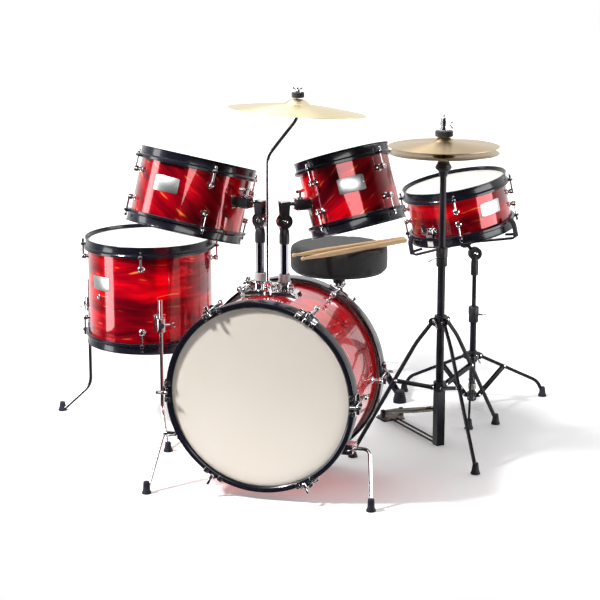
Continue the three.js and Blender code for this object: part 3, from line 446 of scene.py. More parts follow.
def rubber():
    return worn("rubber", (60.0, 4.0, 0.6), ((0.35, (0.008, 0.009, 0.022)), (0.75, (0.024, 0.026, 0.045))),
                (0.5, 0.72), (1400.0, 2.0, 0.2, 0.0004), Specular_IOR_Level=0.35)


def pedal_metal():
    stops = ((0.3, (0.10, 0.085, 0.07)), (0.55, (0.30, 0.25, 0.20)), (0.75, (0.50, 0.43, 0.36)))
    return worn("pedal_metal", (32.0, 5.0, 0.65), stops, (0.32, 0.6), (500.0, 4.0, 0.35, 0.0008),
                Metallic=0.75)


def mottled(name, tone, shade, cloud, rub, rough, grain, specular):
    """Two near tones in soft clouds, rubbed unevenly, over a fine grain."""
    look = Look(name, Specular_IOR_Level=specular)
    look.drive("Base Color", look.mix(look.clouds(*cloud), tone, shade))
    look.drive("Roughness", look.span(look.clouds(rub), *rough))
    look.bump(look.clouds(grain, 2.0), 0.12, 0.0003)
    return look.material


def drum_skin(name, tone, shade):
    return mottled(name, tone, shade, (7.0, 4.0), 30.0, (0.38, 0.55), 1500.0, 0.35)


def plastic(name, tone, shade):
    return mottled(name, tone, shade, (40.0, 3.0), 90.0, (0.35, 0.5), 1600.0, 0.4)


def bronze(name, shade, tone):
    """Turned bronze: fine lathe rings round each cymbal's own axis."""
    look = Look(name, Metallic=1.0, Anisotropic=0.75, Anisotropic_Rotation=0.25)
    ring = look.node("SeparateXYZ", {"Vector": look.unrolled()}).outputs["X"]
    line = look.node("CombineXYZ", {"X": ring}).outputs[0]
    fine, wide, cloud = look.noise(line, 900.0, 3.0, 0.7), look.noise(line, 60.0, 3.0, 0.6), look.clouds(9.0)
    look.drive("Base Color", look.mix(look.mix(0.5, wide, cloud), shade, tone))
    look.drive("Roughness", look.span(look.mix(0.6, fine, cloud), 0.26, 0.46))
    look.bump(look.mix(0.4, fine, wide), 0.25, 0.0006)
    look.drive("Tangent", look.node("Tangent", direction_type="RADIAL", axis="Z").outputs["Tangent"])
    return look.material


def felt(name, tone):
    look = Look(name, Base_Color=tone, Roughness=0.95, Sheen_Weight=0.5, Sheen_Roughness=0.5)
    look.bump(look.clouds(700.0, 5.0, 0.8), 0.9, 0.0012)
    return look.material


def vinyl():
    """Black vinyl with a pebbled grain."""
    look = Look("vinyl", Base_Color=(0.006, 0.005, 0.007), Specular_IOR_Level=0.4, Sheen_Weight=0.05)
    pebbles = {"Vector": look.coords(), "Scale": 620.0}
    cells = look.node("TexVoronoi", pebbles, feature="DISTANCE_TO_EDGE").outputs[0]
    crease = look.clouds(45.0, 5.0, 0.6)
    look.drive("Roughness", look.span(crease, 0.36, 0.52))
    look.bump(look.mix(0.25, look.ramp(cells, (0.0, 0.0), (0.35, 1.0)), crease), 0.45, 0.0012)
    return look.material


def maple():
    """Pale turned wood with its grain along the stick."""
    look = Look("maple", Coat_Weight=0.25, Coat_Roughness=0.3)
    grain = look.stretched(look.unrolled(), 260, 9, 5.0, 0.65)
    stops = ((0.32, (0.42, 0.24, 0.10)), (0.5, (0.66, 0.43, 0.21)), (0.68, (0.78, 0.55, 0.30)))
    look.drive("Base Color", look.ramp(look.mix(0.25, grain, look.clouds(22.0)), *stops))
    look.drive("Roughness", look.span(grain, 0.42, 0.6))
    look.bump(grain, 0.2, 0.0005)
    return look.material


def brushed():
    look = Look("brushed", Metallic=1.0)
    lines = look.stretched(look.unrolled(), 40, 2600, 3.0, 0.6)
    look.drive("Base Color", look.ramp(lines, (0.3, (0.55, 0.56, 0.56)), (0.7, (0.78, 0.79, 0.79))))
    look.drive("Roughness", look.span(lines, 0.24, 0.42))
    return look.material


WRAP = red_wrap("red_wrap")
WRAP_FALLING = red_wrap("red_wrap_falling", 32.0)
WRAP_RISING = red_wrap("red_wrap_rising", -32.0)
# The bass drum's copy is lightened all over as painted light on its shell.
WRAP_PAINTED_LIGHT = red_wrap("red_wrap_painted_light", 0.0, 0.10)
GLOSS_BLACK = gloss_black()
CHROME = chrome("chrome", (0.78, 0.77, 0.79), (0.62, 0.61, 0.63))
# Chrome darkened as painted shade: a stand-in for a dark room mirrored in the tom posts.
CHROME_PAINTED_DARK = chrome("chrome_painted_dark", (0.20, 0.19, 0.23), (0.13, 0.12, 0.16))
SATIN_CHROME = chrome("satin_chrome", (0.46, 0.45, 0.48), (0.34, 0.33, 0.36))
STEEL = powder_black()
WHITE_SKIN = drum_skin("white_skin", (0.86, 0.85, 0.80), (0.80, 0.78, 0.72))
CREAM_SKIN = drum_skin("cream_skin", (0.87, 0.80, 0.72), (0.83, 0.75, 0.65))
BRONZE = bronze("bronze", (0.75, 0.62, 0.37), (0.91, 0.80, 0.54))
# A darker, browner copy of the bronze for the hi-hats, as painted shade: a stand-in for dark surroundings
# mirrored in them.
BRONZE_PAINTED_SHADE = bronze("bronze_painted_shade", (0.46, 0.33, 0.19), (0.68, 0.54, 0.33))
BLACK_FELT = felt("black_felt", (0.012, 0.011, 0.014))
WHITE_FELT = felt("white_felt", (0.72, 0.70, 0.66))
RUBBER = rubber()
GREY_PLASTIC = plastic("grey_plastic", (0.55, 0.54, 0.54), (0.44, 0.43, 0.43))
WHITE_PLASTIC = plastic("white_plastic", (0.82, 0.80, 0.77), (0.74, 0.72, 0.68))
BLACK_PLASTIC = plastic("black_plastic", (0.015, 0.014, 0.02), (0.03, 0.028, 0.036))
VINYL = vinyl()
MAPLE = maple()
PEDAL_METAL = pedal_metal()
BRUSHED = brushed()


# ---- small hardware -----------------------------------------------------------------------------------
def washer(radius, height, hole=0.0, chamfer=0.3, sides=24):
    edge = [(radius - chamfer, 0), (radius, chamfer), (radius, height - chamfer), (radius - chamfer, height)]
    return lathe([(hole, 0)] + edge + [(hole, height)], sides, closed=hole > 0)


def dome(radius, height, sides=20):
    """A button head that sits on z = 0."""
    return lathe([(0, 0), (radius, 0), (radius, height * 0.25), (radius * 0.85, height * 0.65),
                  (radius * 0.45, height * 0.95), (0, height)], sides)


def square_head(width, height):
    return block((-width / 2, -width / 2, 0), (width / 2, width / 2, height), 0.5)


def wing(span, height, thickness=2.6):
    """A wing nut's pair of wings, standing up from z = 0 across x."""
    half = span / 2
    outline = [(-3, 0), (3, 0), (4.5, height * 0.35), (half * 0.8, height * 0.5)]
    outline += arc((half * 0.82, height * 0.78), height * 0.26, -60, 170, 7)
    outline += [(3.4, height * 0.62), (2.4, height * 0.5)]
    mirrored = [(-x, z) for x, z in reversed(outline[1:])]
    return plate(outline + mirrored[:-1], -thickness / 2, thickness / 2, 0.6)


def add_wing_screw(piece, start, end, radius, size, twist, *moves):
    """A screw along +X from start to end, with a wing of that size just short of its end."""
    piece.add(rod((start, 0, 0), (end, 0, 0), radius), CHROME, *moves)
    piece.add(wing(*size), CHROME, *moves, aim((end - 2, 0, 0), X), turn(twist))


def add_tee_handle(piece, stem, span, radius, *moves):
    """A stem up to z = 0 with a bar across it, thicker towards its ends."""
    piece.add(rod((0, 0, -stem), (0, 0, 0), radius), CHROME, *moves)
    bar = [(-span / 2, 0, 1.5), (0, 0, 0.4), (span / 2, 0, 1.5)]
    piece.add(tube(bar, lambda t: radius * (0.95 + 0.5 * abs(2 * t - 1)), 4, 12, 0.8), CHROME, *moves)


# ---- drums ------------------------------------------------------------------------------------------
SHELL_WALL = 5
HOOP = {"height": 27, "rise": 10}
LUG = {"below_edge": 44, "reach": 17, "rod_out": 13.5}
SKIN = 0.5
DRUMS = {
    "left_tom": {"radius": 127.0, "depth": 152, "lug_azimuth": -55.8, "badge": (-100.0, 13),
                 "wrap": WRAP_FALLING},
    "right_tom": {"radius": 101.6, "depth": 152, "lug_azimuth": -117.9, "badge": (-71.0, 9),
                  "wrap": WRAP_RISING},
    "floor_tom": {"radius": 152.4, "depth": 244, "lug_azimuth": -77.4, "badge": (-121.5, 33), "wrap": WRAP},
    "snare_drum": {"radius": 127.0, "depth": 120, "lug_azimuth": -81.0, "badge": (-39.0, 5), "wrap": WRAP},
}
DRUM_LUGS = 4
BADGE = {"width": 60, "height": 34, "thick": 1.0}


def hoop_middle(node):
    points = frame["nodes"][node].data.vertices
    return sum((v.co for v in points), Vector()) * METRE / len(points)


def drum_place(name):
    """The drum's own axes: its middle at the origin and its batter head towards +Z."""
    top, bottom = hoop_middle(name + "_batter_hoop"), hoop_middle(name + "_bottom_hoop")
    return aim((top + bottom) / 2, top - bottom)


def shell_shape(radius, half):
    """A shell with its two bearing edges cut to a ridge."""
    edge = [(radius - SHELL_WALL, 4), (radius - 2.2, 0), (radius - 0.6, 0.6), (radius, 2), (radius, 4)]
    upper = [(r, half - z) for r, z in reversed(edge)]
    return lathe([(r, z - half) for r, z in edge] + upper, 128, closed=True)


def lug_shape(reach):
    """A turned post on a round foot, along +Z from the shell."""
    foot = [(0, -2), (8.2, -2), (8.2, 0.6), (7.2, 1.6), (4.6, 3.2), (4.0, 5.0)]
    cap = [(4.2, -11.5), (6.2, -9.6), (6.6, -8.4), (6.6, -1.4), (5.8, -0.2), (4.2, 0), (3.4, -0.9),
           (2.0, -1.2), (0, -1.2)]
    return lathe(foot + [(r, reach + z) for r, z in cap], 24)


def badge_shape(radius, width, height, thick):
    """A plate bent to the shell, centred on the +X side, with softened corners."""
    steps, rings = 14, []
    span = math.degrees(width / radius)
    for i in range(steps + 1):
        half = height / 2 - (1.6 if i in (0, steps) else 0.0)
        outline = [(0.2, -half), (thick * 0.7, -half), (thick, -half + 0.8),
                   (thick, half - 0.8), (thick * 0.7, half), (0.2, half)]
        rings.append([polar(radius + out, span * (i / steps - 0.5), z) for out, z in outline])
    return skin(rings)


def add_lugs(piece, radius, count, first, heights, reach):
    for i in range(count):
        azimuth = first + 360 / count * i
        for z in heights:
            piece.add(lug_shape(reach), CHROME, aim(polar(radius, azimuth, z), polar(1, azimuth)))
    piece.finish()


def make_drum(name, drum):
    place = drum_place(name)
    radius, half = drum["radius"], drum["depth"] / 2
    shell = Piece(name + "_wrapped_shell", name, place, "red_wrap", [name + "_shell"])
    shell.add(shell_shape(radius, half), drum["wrap"], unroll=unrolled)
    shell.finish()
    heights = (half - LUG["below_edge"], LUG["below_edge"] - half)
    lugs = Piece(name + "_lugs", name, place, "chrome")
    add_lugs(lugs, radius, DRUM_LUGS, drum["lug_azimuth"], heights, LUG["reach"])
    azimuth, height = drum["badge"]
    badge = Piece(name + "_badge", name, place)
    plaque = badge_shape(radius, BADGE["width"], BADGE["height"], BADGE["thick"])
    badge.add(plaque, BRUSHED, turn(azimuth), move(z=height), unroll=unrolled)
    badge_half = math.degrees((BADGE["width"] / 2 - 4) / radius)
    for spot in (azimuth - badge_half, azimuth + badge_half):
        rivet_at = aim(polar(radius + BADGE["thick"] - 0.2, spot, height), polar(1, spot))
        badge.add(dome(1.7, 1.0, 12), CHROME, rivet_at)
    badge.finish()
    make_hoop(name, "batter", drum, place)
    make_hoop(name, "bottom", drum, place @ turn(180, "X"))
    return place


def make_hoop(name, end, drum, place):
    """A flanged hoop with its drumhead, ears and tension rods, for the drum's +Z end."""
    r, edge = drum["radius"], drum["depth"] / 2
    top = edge + HOOP["rise"]
    low = top - HOOP["height"]
    first = drum["lug_azimuth"] if end == "batter" else -drum["lug_azimuth"]
    hoop = Piece(f"{name}_{end}_rim", name, place, "black_hoop", [f"{name}_{end}_hoop"])
    hoop.add(lathe([
        (r + 2.4, low), (r + 8.6, low), (r + 9.4, low + 0.8), (r + 9.4, low + 6.0), (r + 8.6, low + 7.2),
        (r + 5.8, low + 8.4), (r + 4.8, low + 9.6), (r + 4.8, top - 4.4), (r + 5.2, top - 3.2),
        (r + 6.6, top - 2.2),
        (r + 6.8, top - 0.8), (r + 6.2, top), (r + 4.0, top), (r + 3.0, top - 0.6), (r + 2.6, top - 2.0),
    ], 128, closed=True), GLOSS_BLACK)
    out, rod_top, rod_foot = r + LUG["rod_out"], low + 6.4, edge - LUG["below_edge"] + 6.0
    outline = [(r + 6, -8), (r + 9, -7.6), (out + 1, -5.6)] + arc((out + 0.5, 0), 5.4, -70, 70, 6)
    outline += [(out + 1, 5.6), (r + 9, 7.6), (r + 6, 8)]
    for i in range(DRUM_LUGS):
        spin = turn(first + 360 / DRUM_LUGS * i)
        hoop.add(plate(outline, low + 0.6, low + 6.4, 0.8), GLOSS_BLACK, spin, turn(90, "X"))
        hoop.add(rod((0, 0, rod_foot), (0, 0, rod_top + 1), 2.3, sides=12), CHROME, spin, move(x=out))
        for shape, lift in ((washer(5.0, 1.4), 0), (square_head(5.4, 8.5), 1.2), (dome(3.4, 1.6, 14), 9.6)):
            hoop.add(shape, CHROME, spin, move(x=out), move(z=rod_top + lift))
    hoop.finish(30)
    film = edge + 0.3
    head = Piece(f"{name}_{end}_skin", name, place, "drumhead")
    head.add(lathe([
        (0, film + 0.1), (r - 6, film + 0.1), (r - 1.4, film - 0.1), (r + 0.5, film - 1.4),
        (r + 0.6, film - 6),
        (r + 2.1, film - 6), (r + 2.1, film - 2), (r + 1.2, film), (r - 1.2, film + SKIN + 0.1),
        (r - 6, film + SKIN + 0.2), (0, film + SKIN + 0.2)], 128), WHITE_SKIN)
    head.finish()


PLACES = {name: make_drum(name, drum) for name, drum in DRUMS.items()}

# ---- bass drum --------------------------------------------------------------------------------------
BASS = {"radius": 203.2, "length": 290, "hoop": 215, "lip": 201, "hoop_depth": 34, "inset": 10,
        "height": 232, "lugs": 6, "lug_offset": 70, "lug_reach": 23, "rod": 220}
BASS_AXES = KIT @ move(0, BASS["length"] / 2, BASS["height"]) @ turn(90, "X")
BASS_FACE = BASS["length"] / 2
BASS_EDGE = BASS_FACE - BASS["inset"]

bass_shell = Piece("bass_drum_wrapped_shell", "bass_drum", BASS_AXES, "red_wrap", ["bass_drum_shell"])
# The bass shell wears the lightened copy of the wrap, whose colour holds painted light.
bass_shell.add(shell_shape(BASS["radius"], BASS_EDGE), WRAP_PAINTED_LIGHT, turn(90), unroll=unrolled)
bass_shell.finish()
add_lugs(Piece("bass_drum_lugs", "bass_drum", BASS_AXES, "chrome"), BASS["radius"], BASS["lugs"], 0,
         (-BASS["lug_offset"], BASS["lug_offset"]), BASS["lug_reach"])


def claw_finger():
    """A strap that hooks over the front of the hoop, in the X-Z plane."""
    out, face = BASS["hoop"] + 1.6, BASS_FACE + 1.2
    path = [(BASS["lip"] + 2, 0, face), (out, 0, face), (out, 0, BASS_FACE - 20)]
    return sweep(path, box_section(2.2, 12, 0.7), bend=4)


def make_bass_end(end, place, node, skin_look):
    hoop = Piece(f"bass_{end}_rim", "bass_drum", place, "black_hoop", [f"bass_{end}_hoop"])
    lip, out, back = BASS["lip"], BASS["hoop"], BASS_FACE - BASS["hoop_depth"]
    r, t_rod = BASS["radius"], BASS["rod"]
    hoop.add(lathe([
        (lip, BASS_FACE - 7.5), (lip, BASS_FACE - 4.5), (lip + 0.9, BASS_FACE - 3.2),
        (lip + 3.6, BASS_FACE - 0.8),
        (lip + 5.2, BASS_FACE), (out - 3.6, BASS_FACE), (out - 1.0, BASS_FACE - 1.0), (out, BASS_FACE - 3.4),
        (out, back + 2), (out - 1.2, back), (r + 6.6, back), (r + 6.6, BASS_FACE - 8.2),
    ], 160, closed=True), GLOSS_BLACK)
    hoop.finish(30)
    claws = Piece(f"bass_{end}_claws", "bass_drum", place, "chrome")
    saddle = [(out + 0.6, -24), (out + 7, -24)] + arc((t_rod, 0), 8.5, -70, 70, 8) + [(out + 7, 24),
                                                                                      (out + 0.6, 24)]
    for i in range(BASS["lugs"]):
        spin = turn(360 / BASS["lugs"] * i)
        for y in (-18, 18):
            claws.add(claw_finger(), CHROME, spin, move(y=y))
            claws.add(dome(5.4, 2.4), CHROME, spin, move(lip + 7.2, y, BASS_FACE + 1.8))
        claws.add(plate(saddle, BASS_FACE - 20.5, BASS_FACE - 17.5, 0.8), CHROME, spin, turn(90, "X"))
        claws.add(washer(6.2, 1.4), CHROME, spin, move(t_rod, 0, BASS_FACE - 17.4))
        claws.add(rod((t_rod, 0, BASS["lug_offset"] + 6), (t_rod, 0, BASS_FACE + 6), 2.9, sides=14), CHROME,
                  spin)
        add_tee_handle(claws, 6, 25, 3.0, spin, move(t_rod, 0, BASS_FACE + 9))
    claws.finish(30)
    film = BASS_EDGE + 0.3
    head = Piece(f"bass_{end}_skin", "bass_drum", place, "drumhead", [node])
    head.add(lathe([
        (0, film + 0.4), (r - 30, film + 0.4), (r - 2.6, film + 0.1), (r + 0.6, film - 2.0),
        (r + 0.7, film - 8),
        (r + 5.6, film - 8), (r + 5.6, film - 2), (r + 2.6, film - 0.6), (r - 2.4, film + SKIN + 0.3),
        (r - 30, film + SKIN + 0.6), (0, film + SKIN + 0.6)], 160), skin_look)
    head.finish()


make_bass_end("front", BASS_AXES, "bass_front_head", CREAM_SKIN)
make_bass_end("rear", BASS_AXES @ turn(180, "X"), "bass_batter_head", WHITE_SKIN)

# ---- spurs: their blocks belong to the shell ---------------------------------------------------------
SPUR = {"radius": 4.6, "elbow": 238, "foot_x": 254, "foot_y": {"left": -24, "right": -2}}
SHELL_TOP = BASS["height"] + BASS["radius"]


def make_spur(side, sign):
    pivot = KIT.inverted() @ joint_at(side + "_spur_fold")
    h = pivot.z

    def at(x, y, z):
        return Vector((sign * x, pivot.y + y, h + z))

    def slab(near, far, half, low, high, bevel):
        left, right = beside(sign, near, far)
        return block((left, pivot.y - half, h + low), (right, pivot.y + half, h + high), bevel)

    bracket = Piece(side + "_spur_clamp", "bass_drum", KIT, "chrome")
    bracket.add(slab(164, 198, 15, -13, 9, 2.2), BLACK_PLASTIC)
    bracket.add(slab(172, 206, 17, 8.2, 11.6, 1.0), CHROME)
    bracket.add(slab(197, 202, 13, -11, 9, 1.2), CHROME)
    bracket.add(rod(at(203, -24, 3), at(203, 17, 3), 2.6), CHROME)
    bracket.add(wing(24, 13), CHROME, aim(at(203, -22, 3), (0, -1, 0)))
    bracket.add(washer(7.8, 5, 5.2), CHROME, aim(at(201, 0, 0), (sign, 0, 0)))
    bracket.finish()
    spur = Piece(side + "_spur_rod", side + "_spur", KIT, "chrome", [side + "_spur"])
    foot = Vector((sign * SPUR["foot_x"], SPUR["foot_y"][side], 0))
    elbow = at(SPUR["elbow"], 0, 0)
    spur.add(tube([at(182, 0, 0), elbow, foot.lerp(elbow, 0.08)], SPUR["radius"], 15, 18), CHROME)
    shoe = [(0, 0), (10.4, 0), (10.8, 1.2), (10.4, 4.0), (8.2, 9.0), (7.4, 24), (7.0, 27.4), (5.8, 28.2),
            (0, 28.2)]
    spur.add(lathe(shoe, 24), RUBBER, move(*foot))
    spur.finish()


make_spur("left", -1)
make_spur("right", 1)

# ---- tom holder -------------------------------------------------------------------------------------
HOLDER = {"top": 463, "collar_top": 480, "post": 9.0}
CRASH_FOOT = KIT.inverted() @ joint_at("crash_rod_swivel")
LEFT_POST = KIT.inverted() @ joint_at("left_tom_post_swivel")
RIGHT_POST = KIT.inverted() @ joint_at("right_tom_post_swivel")


def socket(low, high, radius, hole, waist=2.0):
    """A bored boss with a waist."""
    return lathe([(hole, low), (radius, low), (radius, low + 4), (radius - waist, low + 8),
                  (radius - waist, high - 6), (radius, high - 4), (radius, high - 0.6), (radius - 0.6, high),
                  (hole, high)], 32, closed=True)


def make_holder():
    holder = Piece("tom_holder_casting", "bass_drum", KIT, "chrome", ["tom_holder"])
    left, right, y = LEFT_POST.x, RIGHT_POST.x, LEFT_POST.y
    top, hole = HOLDER["top"], HOLDER["post"] + 0.3
    saddle = [(left - 36, SHELL_TOP - 14), (right + 38, SHELL_TOP - 14), (right + 30, SHELL_TOP + 3),
              (right + 20, SHELL_TOP + 8), (left - 18, SHELL_TOP + 8), (left - 28, SHELL_TOP + 3)]
    holder.add(plate(saddle, y - 24, y + 24, 1.6), CHROME)
    for x in (left, right):
        holder.add(socket(SHELL_TOP + 2, top, 15.5, hole), CHROME, move(x, y))
        holder.add(washer(13.4, HOLDER["collar_top"] - top, hole, 0.8, 32), GREY_PLASTIC, move(x, y, top))
        holder.add(block((x - 19, y - 11, SHELL_TOP + 6), (x - 11, y + 11, top - 3), 1.4), CHROME)
    for z in (SHELL_TOP + 12, top - 8):
        holder.add(rod((left - 26, y - 5, z), (right + 22, y - 5, z), 2.8), CHROME)
    web = [(left + 12, SHELL_TOP + 4), (right - 12, SHELL_TOP + 4), (right - 14, top - 4),
           (left + 14, top - 4)]
    holder.add(plate(web, y - 6, y + 6, 1.2), CHROME)
    x, front = CRASH_FOOT.to_2d()
    holder.add(socket(SHELL_TOP + 3, top + 4, 9.5, 4.3, 1.2), CHROME, move(x, front))
    holder.add(block((x - 7, front + 6, SHELL_TOP + 6), (x + 7, y - 4, top - 4), 1.2), CHROME)
    holder.add(square_head(9, 7), CHROME, aim((x, front - 8, SHELL_TOP + 16), (0, -1, 0)))
    for z, span in ((SHELL_TOP + 14, 26), (top - 8, 22)):
        holder.add(wing(span, 14), CHROME, aim((left - 24, y - 5, z), (-1, 0, 0)), turn(30))
    holder.add(dome(5.5, 3.2), CHROME, aim((right + 21, y - 5, SHELL_TOP + 12), (1, 0, 0)))
    holder.finish(32)


make_holder()

# ---- crash cymbal -----------------------------------------------------------------------------------
CRASH = {"rod": 4.0, "bend": 745, "bend_end": 832, "radius": 150, "bow": 15, "bell": 12, "lean": 3.3,
         "dip": 3.4,
         "top": 899}
HAT = {"radius": 130, "bow": 11, "bell": 10, "lower_rim": 711.5, "upper_rim": 727}
CYMBAL_HOLE = 6


def cymbal_shape(radius, bow, bell):
    """A thin cymbal: its rim on z = 0, a shallow bow and a round bell."""
    upper = [(CYMBAL_HOLE, bow + bell), (radius * 0.07, bow + bell * 0.97),
             (radius * 0.12, bow + bell * 0.80),
             (radius * 0.165, bow + bell * 0.40), (radius * 0.2, bow + bell * 0.08),
             (radius * 0.225, bow - 0.3)]
    count = 16
    for i in range(1, count + 1):
        share = i / count
        upper.append((radius * (0.225 + 0.775 * share), (bow - 0.3) * (1 - share ** 1.35) + 0.35))
    lower = [(r, z - (1.3 - 0.6 * r / radius)) for r, z in reversed(upper)]
    return lathe(upper + lower, 128, closed=True)


def ringed(corners):
    """A cymbal's map: how far each corner is from the middle, in metres."""
    return [(math.hypot(p.x, p.y) / METRE, 0.0) for p in corners]


def make_crash():
    over, foot = KIT.inverted() @ joint_at("crash_cymbal_rock"), CRASH_FOOT
    bar = Piece("crash_rod_bent", "crash_rod", KIT, "chrome", ["crash_rod"])
    path = [(foot.x, foot.y, SHELL_TOP + 6), (foot.x, foot.y, CRASH["bend"]),
            (over.x, over.y, CRASH["bend_end"]), (over.x, over.y, CRASH["top"] - 2)]
    bar.add(tube(path, CRASH["rod"], 16, 20), CHROME)
    here = move(*over)
    for shape, material, z in ((washer(10, 2), CHROME, -15.6), (washer(10, 8.6, 0, 1.4), BLACK_FELT, -13.2),
                               (washer(14, 11.6, 0, 1.2), BLACK_FELT, 4.4), (washer(8, 1.6), CHROME, 16.2),
                               (rod((0, 0, 0), (0, 0, 4.4), 5.2, 4.2), CHROME, 17.6),
                               (wing(22, 9, 3), CHROME, 17.8)):
        bar.add(shape, material, here, move(z=z))
    bar.finish(32)
    cymbal = Piece("crash_cymbal_bronze", "crash_cymbal", KIT, "cymbal_bronze", ["crash_cymbal"])
    cymbal.add(cymbal_shape(CRASH["radius"], CRASH["bow"], CRASH["bell"]), BRONZE, here, move(z=1.8),
               turn(-CRASH["dip"], "X"), turn(CRASH["lean"],
                                              "Y"), move(z=-CRASH["bow"] - CRASH["bell"]), unroll=ringed)
    cymbal.finish()


make_crash()

# ---- mounted tom arms and posts ---------------------------------------------------------------------
TILTER = {"disc": 17, "thick": 8.8, "arm": 4.5, "lift": 38, "block": 42, "gap": 26}


def make_tilter(name):
    """A tom's block, arm and post, laid out from the ratchet with +X away from the drum."""
    axis, pivot = joint_axis(name + "_tilt"), joint_at(name + "_tilt")
    place = Matrix.Translation(pivot) @ turn(math.degrees(math.atan2(-axis.x, axis.y)))
    drum = PLACES[name]
    up, middle = drum.to_3x3() @ Z, drum.translation
    lift, disc, thick = TILTER["lift"], TILTER["disc"], TILTER["thick"]
    level = middle + up * ((pivot.z + lift - middle.z) / up.z)
    shell_at = DRUMS[name]["radius"] - (pivot - level).to_2d().length
    end = min(shell_at + TILTER["block"], -TILTER["gap"])

    clamp = Piece(name + "_clamp", name, place, "chrome")
    clamp.add(block((shell_at - 4, -12, lift - 11), (end - 1, 12, lift + 9), 1.6), BLACK_PLASTIC)
    clamp.add(block((shell_at - 3, -14, lift + 8.4), (end + 1, 14, lift + 11.6), 1.0), CHROME)
    cradle = [(shell_at - 10, lift - 18), (shell_at + 8, lift - 13.5), (end + 1, lift - 13.5),
              (end + 1, lift - 10.6), (shell_at - 10, lift - 10.6)]
    clamp.add(plate(cradle, -15, 15, 0.9), CHROME)
    clamp.add(block((shell_at - 4, -15, lift - 17), (shell_at + 1, 15, lift + 14), 1.2), CHROME)
    over = move((shell_at + end) / 2 + 6, 0, lift)
    clamp.add(washer(6.2, 3.2), CHROME, over, move(z=11))
    add_tee_handle(clamp, 15, 26, 2.6, over, move(z=26), turn(35))
    clamp.finish(32)

    arm = Piece(name + "_arm_casting", name + "_arm", place, "chrome", [name + "_arm"])
    arm.add(rod((shell_at + 5, 0, lift), (6, 0, lift), TILTER["arm"]), CHROME)
    arm.add(block((-13, -12, lift + 3.5), (12, 12, lift + 7), 1.0), CHROME)
    cheek = [(-9, disc - 3), (9, disc - 3), (11.5, lift + 5), (-11.5, lift + 5)]
    for side in (-1, 1):
        arm.add(plate(cheek, *beside(side, 5.4, 9), 0.8), BLACK_PLASTIC)
    arm.add(block((-8, -6, lift - 8), (8, 6, lift + 5), 1.0), CHROME)
    rim = [(0, 0.3), (disc, 0.3), (disc, thick - 1.4), (disc - 1.4, thick)]
    inner = [(disc - 4, thick), (disc - 4.6, thick - 1.8), (6.4, thick - 1.8), (6.4, thick + 1.2),
             (0, thick + 1.2)]
    arm.add(lathe(rim + inner, 40), SATIN_CHROME, aim((0, 0, 0), Y))
    arm.add(dome(5.0, 2.4), CHROME, aim((0, thick + 1.0, 0), Y))
    arm.add(plate([(-10, 4), (10, 4), (10, disc + 6), (-10, disc + 6)], 0.6, thick - 1, 1.0), BLACK_PLASTIC)
    arm.finish(32)

    post = Piece(name + "_post_tube", name + "_post", place, "black_steel", [name + "_post"])
    low = SHELL_TOP + 6 - (KIT.inverted() @ pivot).z
    # The tom post's chrome is darkened as painted shade, for a dark room mirrored in it.
    post.add(rod((0, 0, low), (0, 0, -disc - 20), HOLDER["post"], chamfer=1, sides=28), CHROME_PAINTED_DARK)
    head = [(0, -33), (10.4, -33), (11.4, -32), (11.4, -14), (10.0, -2), (8.4, 1), (0, 1)]
    post.add(lathe([(r, z - disc) for r, z in head], 32), BLACK_PLASTIC)
    post.add(plate([(-9, -disc - 3), (9, -disc - 3), (11, 0), (-11, 0)], -thick + 0.6, -0.6, 1.0),
             BLACK_PLASTIC)
    inner = [(disc - 2.6, thick), (disc - 3.4, thick - 2.6), (8.4, thick - 2.6), (7.6, thick + 0.4),
             (0, thick + 0.4)]
    post.add(lathe(rim + inner, 40), SATIN_CHROME, aim((0, 0, 0), -Y))
    post.add(dome(5.6, 3.0), CHROME, aim((0, -thick - 0.3, 0), -Y))
    post.add(pipe(8.8, 12.6, 0, 0.8, 32), BLACK_PLASTIC, aim((0, -thick + 2.4, 0), -Y))
    post.finish(32)


make_tilter("left_tom")
make_tilter("right_tom")

# ---- floor tom legs ---------------------------------------------------------------------------------
FLOOR_LEG = {"reach": 20, "azimuths": (-61.7, 57, 175), "top": 352, "bend": 78, "foot_reach": 104,
             "bracket": 290,
             "radius": 4.5}
VENT = {"azimuth": -124.5, "height": -2}
FLOOR_TOM, FLOOR_RADIUS = PLACES["floor_tom"], DRUMS["floor_tom"]["radius"]


